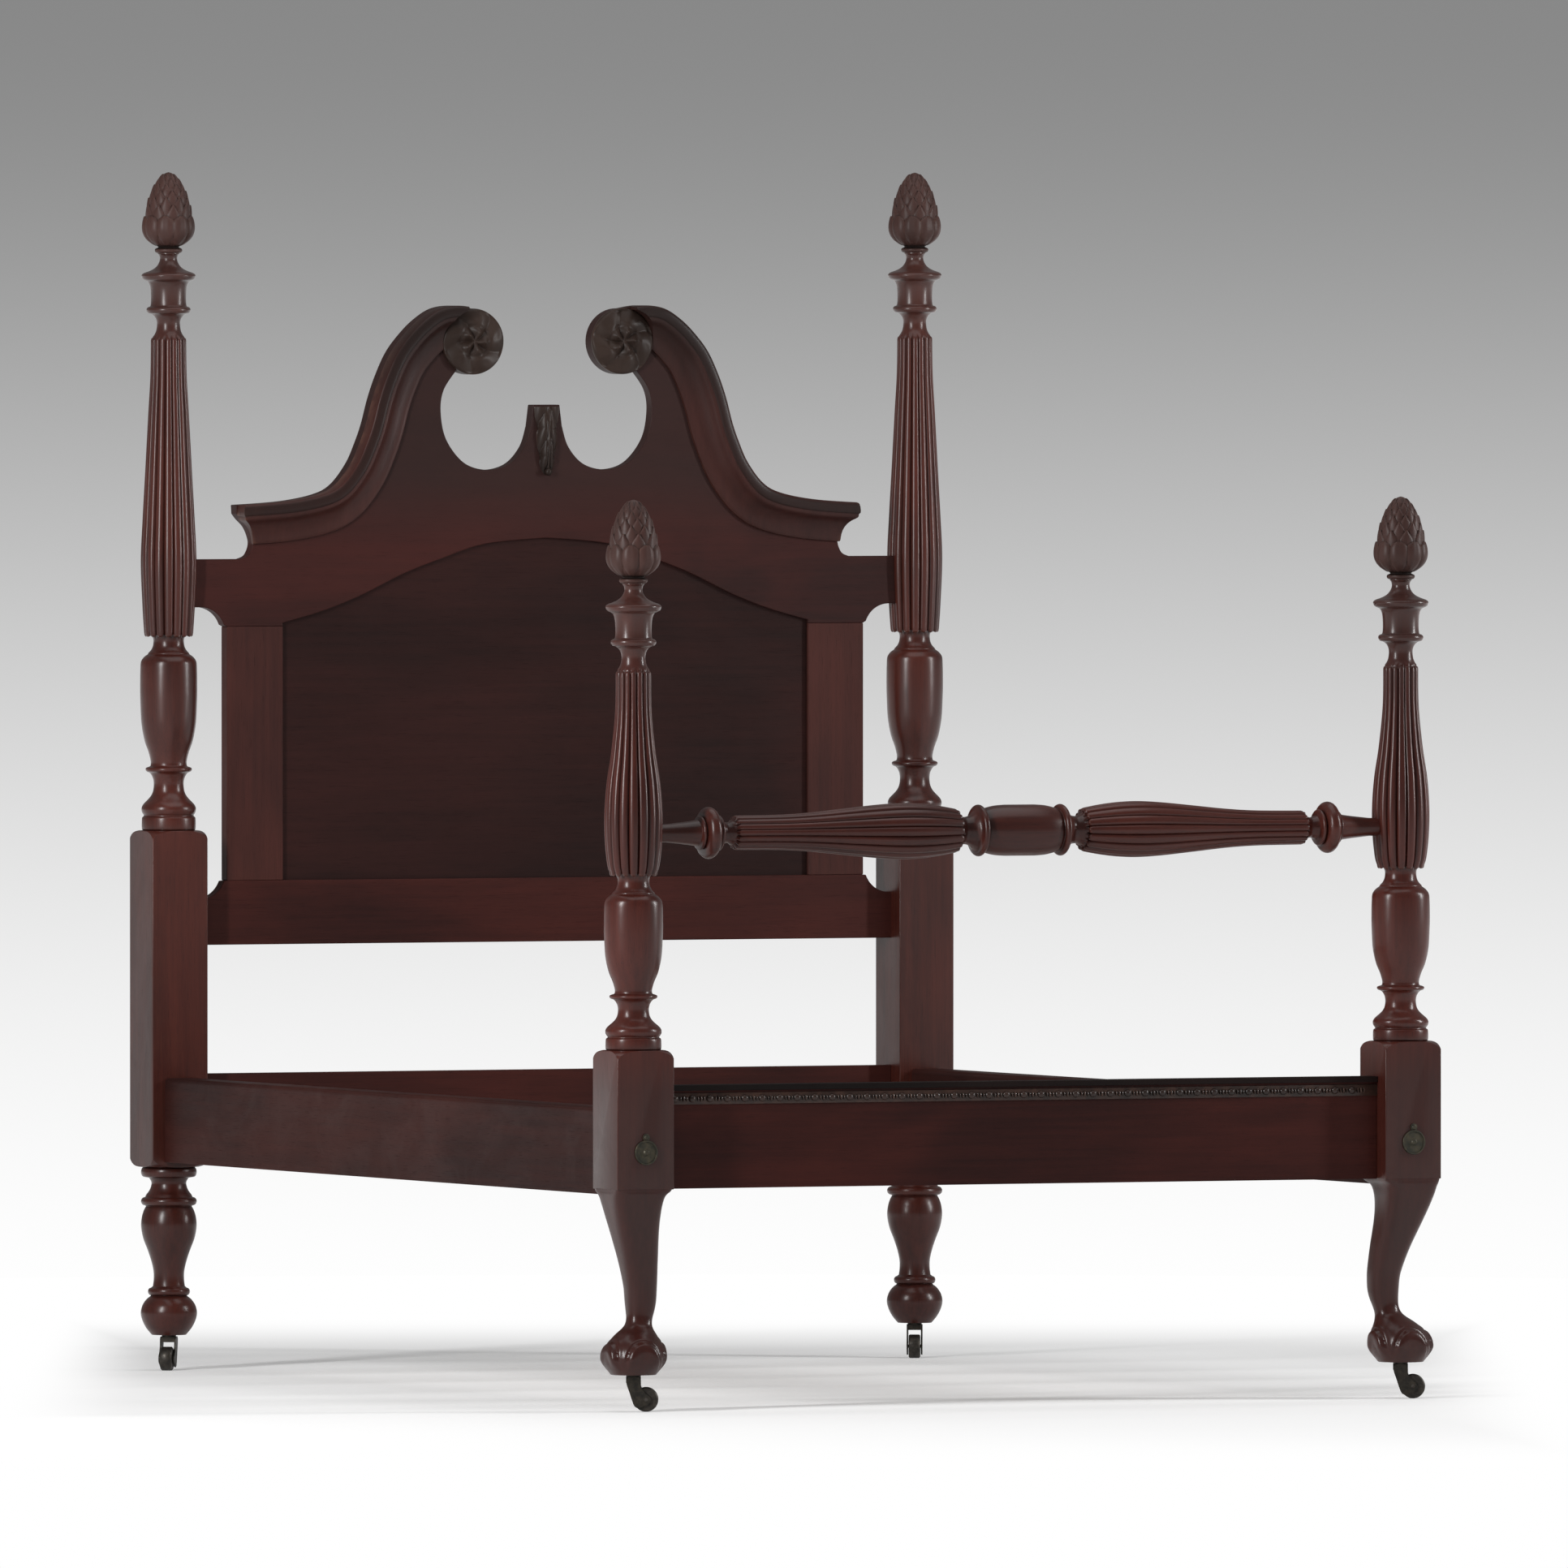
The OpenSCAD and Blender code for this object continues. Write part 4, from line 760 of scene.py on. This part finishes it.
# Rosettes
# Two turned discs, each carved into a flower of five petals that turn about its middle, glued to
# the ends of the swan necks. The wood is painted greyer and paler on the petals' high places, partly
# bare wood and partly painted highlight.
rosette_wood = mahogany(
    "rosette_mahogany", "Z", deep=(0.019, 0.012, 0.0095), warm=(0.053, 0.0325, 0.025),
    shine=0.38, polish=0.24, figure=0.25, grime_and_shade=0.34, wear_and_highlight=0.6)
for side, way in (("left", -1), ("right", 1)):
    line = [(0, -1), (rosette_r - 1, -1), (rosette_r, 0.5), (rosette_r, 5), (rosette_r - 0.5, 8),
            (rosette_r - 2, 10.6)]
    line += [(r, 19.6 - 9.4 * (r / rosette_r) ** 2.8) for r in range(56, 1, -2)] + [(0, 19.6)]
    disc = turned("disc", line, (way * rosette_x, board_face, rosette_z), axis=(0, -1, 0), steps=200)

    def five_petals(co):
        across, up = co.x / mm - way * rosette_x, co.z / mm - rosette_z
        r, out = math.hypot(across, up), board_face - co.y / mm
        if out < 7.5:
            return
        share = r / rosette_r
        turn = (way * math.atan2(up, across) / math.tau * 5 + 0.42 * share + 0.35) % 1
        petal = math.sin(math.pi * turn ** 1.1)
        knob = math.exp(-((share - 0.29) / 0.1) ** 2 - ((turn - 0.52) / 0.2) ** 2)
        waist = math.exp(-((share - 0.46) / 0.07) ** 2)
        bowl = math.exp(-((share - 0.74) / 0.13) ** 2 - ((turn - 0.5) / 0.15) ** 2)
        lift = (9 * petal - 7.4) * (1 - 0.16 * share) * (1 - math.exp(-(share / 0.17) ** 2)) - 1
        lift += 3.6 * knob - 2.4 * waist - 1.4 * bowl - 4 * math.exp(-(share / 0.13) ** 2)
        lift *= min(1, max(0, 1 - share) / 0.05)
        co.y -= lift * mm

    carved(disc, five_petals)
    disc.name = disc.data.name = "rosette_" + side + "_carved"
    finished(disc, rosette_wood, "bed", ["rosette_" + side], angle=60)


# Pendant leaf
# A long acanthus leaf carved in one piece and glued on the middle plinth, its lobes curling down
# and out from the rib, with a small round bud at its tip.
leaf_w, leaf_h, leaf_top = 40, 124, plinth_top - 4
bpy.ops.object.select_all(action="DESELECT")
bpy.ops.mesh.primitive_grid_add(x_subdivisions=28, y_subdivisions=96, size=leaf_w * mm,
                                location=(0, board_face * mm, (leaf_top - leaf_h / 2) * mm),
                                rotation=(math.pi / 2, 0, 0))
leaf = bpy.context.object
leaf.name = leaf.data.name = "pendant_leaf_carved"
leaf.scale = (1, leaf_h / leaf_w, 1)
settled()


def lobes(co):
    across = co.x / mm / (leaf_w / 2)
    down = (leaf_top - co.z / mm) / leaf_h
    side = abs(across)
    closing = math.sqrt(max(0.01, 1 - down ** 7))
    half = (24.5 - 9.5 * down) * closing
    lobe = math.sin(math.pi * ((down * 2.4 - side * 0.8 + 0.06) % 1)) ** 0.6
    notch = math.sin(math.pi * ((down * 2.4 - 0.8 + 0.06) % 1)) ** 0.6
    half *= 1 - 0.2 * (1 - notch) * min(1, down * 5)
    body = 14.5 * (1 - side ** 2.4) * (0.78 + 0.22 * math.sin(math.pi * min(1, down * 0.9 + 0.1))) * closing
    carve = 5 * (1 - lobe) * min(1, side * 2.6) + 1.6 * math.exp(-((side - 0.15) / 0.08) ** 2)
    co.x = across * half * mm
    co.y = (board_face - max(0.2, body - carve)) * mm


carved(leaf, lobes)
worked(leaf, "SOLIDIFY", thickness=2 * mm, offset=0)
bpy.ops.object.select_all(action="DESELECT")
bpy.ops.mesh.primitive_uv_sphere_add(segments=32, ring_count=16, radius=7 * mm,
                                     location=(0, (board_face - 8) * mm, (leaf_top - 118) * mm))
leaf = joined("pendant_leaf_carved", [leaf, settled()])
work_on(leaf)
closed()
# The leaf's hollows are painted nearly black, part grime and part painted shade.
leaf_wood = mahogany(
    "leaf_mahogany", "Z", deep=(0.013, 0.0085, 0.007), warm=(0.042, 0.024, 0.018),
    shine=0.34, polish=0.24, figure=0.25, grime_and_shade=0.98)
finished(leaf, leaf_wood, "bed", ["pendant_leaf"], angle=60)


# Head end's lower rail and foot rail
# Plain boards tenoned between the posts. The foot rail carries a thin, almost black strip along
# its top edge, and just under the strip a carved moulding of beads and reels.
eased_solid("head_lower_rail", rail_wood)
foot_rail_wood = mahogany(
    "foot_rail_mahogany", "X", deep=(0.021, 0.0064, 0.0057), warm=(0.072, 0.0162, 0.0122),
    shine=0.4, polish=0.14, figure=0.6, wear_and_highlight=0)
eased_solid("foot_rail", foot_rail_wood)
cap_wood = mahogany(
    "cap_mahogany", "X", deep=(0.005, 0.0036, 0.0034), warm=(0.015, 0.0068, 0.0058),
    shine=0.5, polish=0.12, figure=0.6, wear_and_highlight=0)
eased_solid("foot_rail_cap", cap_wood, 1.0)
bead_low, bead_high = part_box("foot_rail_beading")
bead_y, bead_z = bead_high.y / mm, (bead_low.z + bead_high.z) / 2 / mm
pitch, pitches = 33.5, 40
strip = box("strip", (0, bead_y - 1.2, bead_z), (inner_w, 2.4, 20), ease=0.8, segments=2)
pearl_line = [(0, -7)] + bead(-7, 14, 0.2, 6.6, 12) + [(0, 7)]
reel_line = [(0, 9.2), (2.2, 9.2)] + bead(9.2, 3.4, 2.4, 2.4, 6)
reel_line += [(1.6, 13.4)] + bead(14.4, 4.7, 2.4, 3.2, 6)
reel_line += [(1.6, 19.9)] + bead(20.8, 3.4, 2.4, 2.4, 6) + [(0, 24.2)]
row_start = (-pitches / 2 * pitch, bead_y - 1, bead_z)
row = joined("row", [turned(name, line, row_start, side=(0, 0, 1), axis=(1, 0, 0), steps=steps)
                     for name, line, steps in (("pearl", pearl_line, 16), ("reel", reel_line, 12))])
worked(row, "ARRAY", count=pitches, use_relative_offset=False, use_constant_offset=True,
       constant_offset_displace=(pitch * mm, 0, 0))
beading = joined("foot_rail_beading_carved", [strip, row])
# The beads and their ground share one finish, painted nearly black between the beads, part grime and part
# painted shade.
bead_wood = mahogany(
    "bead_mahogany", "X", deep=(0.009, 0.0056, 0.0048), warm=(0.042, 0.0225, 0.0175),
    shine=0.26, polish=0.5, grime_and_shade=0.95)
finished(beading, bead_wood, "bed", ["foot_rail_beading"])


# Blanket rail
# A round rail between the foot posts, turned with a vase in its middle, two long tapering shafts
# carved into sixteen reeds, and a collar near each end. Its round ends sit in holes in the posts.
blanket_z, rail_r = 1010, 16
half = [(45, 0)] + curve([(45, 28), (43.5, 48), (39.5, 66), (37, 72)]) + bead(73, 12, 38, 7.5)
half += curve([(33, 88), (26, 97), (24, 108), (27, 116)])
half += [(31, 120.5), (35, 120), (37.6, 121.6)]
half += curve([(38.8, 125), (44, 155), (48, 190), (49.3, 229), (46.8, 275), (41, 335), (34.5, 400),
               (31, 460), (30, 545)], 8)
half += [(29.2, 548.6), (26, 550)] + curve([(22, 553), (17.9, 562), (21, 574)]) + bead(576, 8, 27, 5)
half += bead(585, 24, 32, 13.5) + bead(610, 7, 26, 4)
half += curve([(23, 619), (20, 640), (rail_r, ear_reach - 24)]) + [(rail_r, ear_reach)]
line = [(0, -ear_reach)] + [(r, -h) for r, h in reversed(half[1:])] + half + [(0, ear_reach)]
rail = turned("blanket_rail_carved", line, (0, -post_y, blanket_z), side=(0, 0, 1), axis=(1, 0, 0))
for low, high in ((120, 550), (-550, -120)):
    reeded(rail, (0, -post_y, blanket_z), low, high, side=(0, 0, 1), axis=(1, 0, 0), depth=0.1)
blanket_wood = mahogany(
    "blanket_mahogany", "X", deep=(0.026, 0.0066, 0.005), warm=(0.086, 0.0185, 0.012),
    shine=0.27, polish=0.52, figure=0.8, grime_and_shade=0.3)
finished(rail, blanket_wood, "bed", ["blanket_rail"])


# Side rails, ledger strips and slats
# Two heavy rails with rounded top edges, drawn up to the posts by bed bolts. A strip of plain
# timber is screwed along the inside of each, and five loose slats lie on the strips.
side_wood = mahogany(
    "side_rail_mahogany", "Y", deep=(0.018, 0.0068, 0.006), warm=(0.052, 0.0148, 0.0114),
    shine=0.42, polish=0.12, figure=0.6, wear_and_highlight=0)
for node in ("side_rail_left", "side_rail_right"):
    eased_solid(node, side_wood)


def plain_timber(name, grain, pale, dark):
    """Sawn, unpolished softwood: pale early wood, darker late wood, and a dry, rough face."""
    wood = Recipe(bpy.data.materials.new(name))
    rings, fibres, patches = [wood.noise(scale, detail, 0.5, 0.4, grain, stretch)
                              for scale, stretch, detail in ((26, 0.06, 4), (240, 0.03, 3), (5, 0.5, 2))]
    colour = wood.two_tone(rings, 0.36, dark, 0.62, pale)
    wood.give(wood.shader, {"Base Color": wood.mixed(0.6, colour, fibres, "MULTIPLY"),
                            "Roughness": patches})
    wood.raised(fibres, 0.5, 0.0006)
    return wood.owner


ledger_wood = plain_timber("ledger_timber", "Y", (0.36, 0.2, 0.1), (0.2, 0.1, 0.05))
slat_wood = plain_timber("slat_timber", "X", (0.42, 0.25, 0.13), (0.24, 0.13, 0.065))
eased_solid("ledger_left", ledger_wood)
eased_solid("ledger_right", ledger_wood)
eased_solid("slats", slat_wood)


# Pegs, bed bolts and screws
# Two round pegs and one long iron bolt with a square nut hold each end of a side rail. Countersunk
# screws hold the ledger strips.
eased_solid("rail_pegs", plain_timber("peg_timber", "Y", (0.4, 0.24, 0.12), (0.25, 0.14, 0.07)), 0.8)


def metal(name, bright, dull, rough_low, rough_high, metallic, grime):
    """Old metal: a rubbed, brighter face and a duller skin of oxide and grime in its low places."""
    cast = Recipe(bpy.data.materials.new(name))
    patches, specks = cast.noise(90, 6, 0.65), cast.noise(900, 3)
    soil = cast.spread(cast.openness(0.004), 0.4, 0.95, 0.85, 0, "LINEAR")
    colour = cast.mixed(soil, cast.two_tone(patches, 0.38, dull, 0.66, bright), grime + (1,))
    rough = cast.spread(patches, 0.3, 0.7, rough_high, rough_low, "LINEAR")
    cast.give(cast.shader, {"Base Color": colour, "Roughness": rough, "Metallic": metallic})
    cast.raised(specks, 0.3, 0.0003)
    return cast.owner


iron = metal(
    "dark_iron", bright=(0.11, 0.1, 0.092), dull=(0.045, 0.036, 0.03),
    rough_low=0.4, rough_high=0.62, metallic=0.8, grime=(0.012, 0.009, 0.007))
for node in ("bed_bolts", "bolt_nuts", "ledger_screws"):
    eased_solid(node, iron, 0.6)


# Bolt covers
# Small cast brass discs that hide the bolt heads: a rim, a sunk ring and a boss, with an ear for
# the screw that each one swings on. They have gone dull green-brown.
brass = metal(
    "old_brass", bright=(0.07, 0.058, 0.036), dull=(0.03, 0.03, 0.022),
    rough_low=0.4, rough_high=0.6, metallic=0.6, grime=(0.009, 0.009, 0.007))
for end in ("head", "foot"):
    for side in ("left", "right"):
        eased_solid("bolt_cover_" + end + "_" + side, brass, 0.5)
eased_solid("cover_screws", brass, 0.3)


# Casters
# A cast horn swivels on a stem in a socket under each foot, and a worn metal wheel turns on an axle
# between its cheeks.
horn_brass = metal(
    "caster_brass", bright=(0.045, 0.037, 0.027), dull=(0.018, 0.016, 0.013),
    rough_low=0.36, rough_high=0.58, metallic=0.6, grime=(0.006, 0.0055, 0.005))
eased_solid("caster_sockets", horn_brass, 0.4)
tread = metal(
    "wheel_iron", bright=(0.05, 0.042, 0.033), dull=(0.02, 0.017, 0.014),
    rough_low=0.34, rough_high=0.58, metallic=0.5, grime=(0.006, 0.005, 0.0045))
for end in ("head", "foot"):
    for side in ("left", "right"):
        eased_solid("caster_horn_" + end + "_" + side, horn_brass, 0.7)
        eased_solid("caster_axle_" + end + "_" + side, iron, 0.4)
        eased_solid("caster_wheel_" + end + "_" + side, tread, 2.4)


# Floor
# A plain white studio floor that keeps the bed's soft shadows and, away from the bed, runs into the
# white of the lower background.
def floor_white():
    white = Recipe(bpy.data.materials.new("studio_floor"))
    white.give(white.shader, {"Base Color": (0.86, 0.86, 0.86, 1), "Roughness": 0.9,
                              "Specular IOR Level": 0.1})
    rays = white.node("LightPath").outputs
    seen = white.maths("MAXIMUM", rays["Is Camera Ray"], rays["Is Glossy Ray"])

    def fade(direction, near, far):
        along = white.node("VectorMath", {0: white.place, 1: direction}, operation="DOT_PRODUCT")
        off = white.maths("ABSOLUTE", along.outputs["Value"], 0)
        return white.spread(off, near, far, 0, 1, "SMOOTHERSTEP")

    across_view, along_view = (0.914, -0.407, 0), (0.407, 0.914, 0)
    away = white.maths("MAXIMUM", fade(across_view, 1.06, 1.38), fade(along_view, 0.9, 3.4))
    glow = white.node("Emission", {"Strength": 1})
    lift = white.node("Emission", {"Strength": white.maths("MULTIPLY", seen, 0.17)})
    lit = white.node("AddShader", {0: white.shader.outputs["BSDF"], 1: lift.outputs["Emission"]})
    mix = white.node("MixShader", {"Fac": white.maths("MULTIPLY", away, seen), 1: lit.outputs["Shader"],
                                   2: glow.outputs["Emission"]})
    white.give(white.tree.nodes["Material Output"], {"Surface": mix.outputs["Shader"]})
    return white.owner


bpy.ops.object.select_all(action="DESELECT")
bpy.ops.mesh.primitive_circle_add(vertices=96, radius=5.6, fill_type="NGON", location=(0, 0, 0))
floor = bpy.context.object
floor.name = floor.data.name = "studio_floor"
floor.data.materials.append(floor_white())


# Light
# Two tall soft boxes in front of the bed, the stronger on the left, a soft overhead panel, and a
# pale even room. The background runs from grey above to white at the floor.
def soft_box(name, place, look_at, width, height, power):
    lamp = bpy.data.objects.new(name, bpy.data.lights.new(name, "AREA"))
    lamp.data.shape = "RECTANGLE"
    lamp.data.size, lamp.data.size_y = width, height
    lamp.data.energy = power
    lamp.location = place
    lamp.rotation_euler = (Vector(look_at) - Vector(place)).to_track_quat("-Z", "Y").to_euler()
    bpy.context.scene.collection.objects.link(lamp)


soft_box("key_box", (-5.6, -2.4, 2.8), (0, 0, 1.1), width=0.4, height=2.8, power=270)
soft_box("side_box", (4.9, -2.6, 2.5), (0, 0, 1.1), width=0.36, height=2.6, power=170)
soft_box("top_panel", (0, -0.6, 5.2), (0, 0, 0), width=4.5, height=4.5, power=90)

room = Recipe(bpy.data.worlds.new("studio_room"))
bpy.context.scene.world = room.owner
towards = room.node("TexCoord").outputs["Generated"]
height = room.node("SeparateXYZ", {"Vector": towards}).outputs["Z"]
backdrop = room.mixed(room.spread(height, -0.0381, 0.008), (1, 1, 1, 1), (0.246, 0.246, 0.246, 1))
shown = room.node("Background", {"Color": backdrop})
ambient = room.node("Background", {"Color": (1, 1, 1, 1), "Strength": 0.12})
rays = room.node("LightPath").outputs
seen = room.maths("MAXIMUM", room.maths("MAXIMUM", rays["Is Camera Ray"], rays["Is Glossy Ray"]),
                  rays["Is Transmission Ray"])
mix = room.node("MixShader", {"Fac": seen, 1: ambient.outputs["Background"],
                              2: shown.outputs["Background"]})
room.give(room.tree.nodes["World Output"], {"Surface": mix.outputs["Shader"]})
bpy.context.scene.view_settings.view_transform = "Standard"


# Camera
# A long lens, far away and looking slightly down, turned so that the foot end stands in front of
# the head end and to its right.
azimuth, elevation, distance = math.radians(-24), math.radians(1.08), 54.5
to_right, look_h = 0.012, 1.073
target = Vector((to_right * math.cos(azimuth), to_right * math.sin(azimuth), look_h))
back = Vector((math.sin(azimuth) * math.cos(elevation), -math.cos(azimuth) * math.cos(elevation),
               math.sin(elevation)))
camera = bpy.data.objects.new("camera", bpy.data.cameras.new("camera"))
camera.data.lens, camera.data.sensor_width = 700, 36
camera.data.clip_start, camera.data.clip_end = 1, 200
camera.location = target + back * distance
camera.rotation_euler = (-back).to_track_quat("-Z", "Y").to_euler()
bpy.context.scene.collection.objects.link(camera)
bpy.context.scene.camera = camera
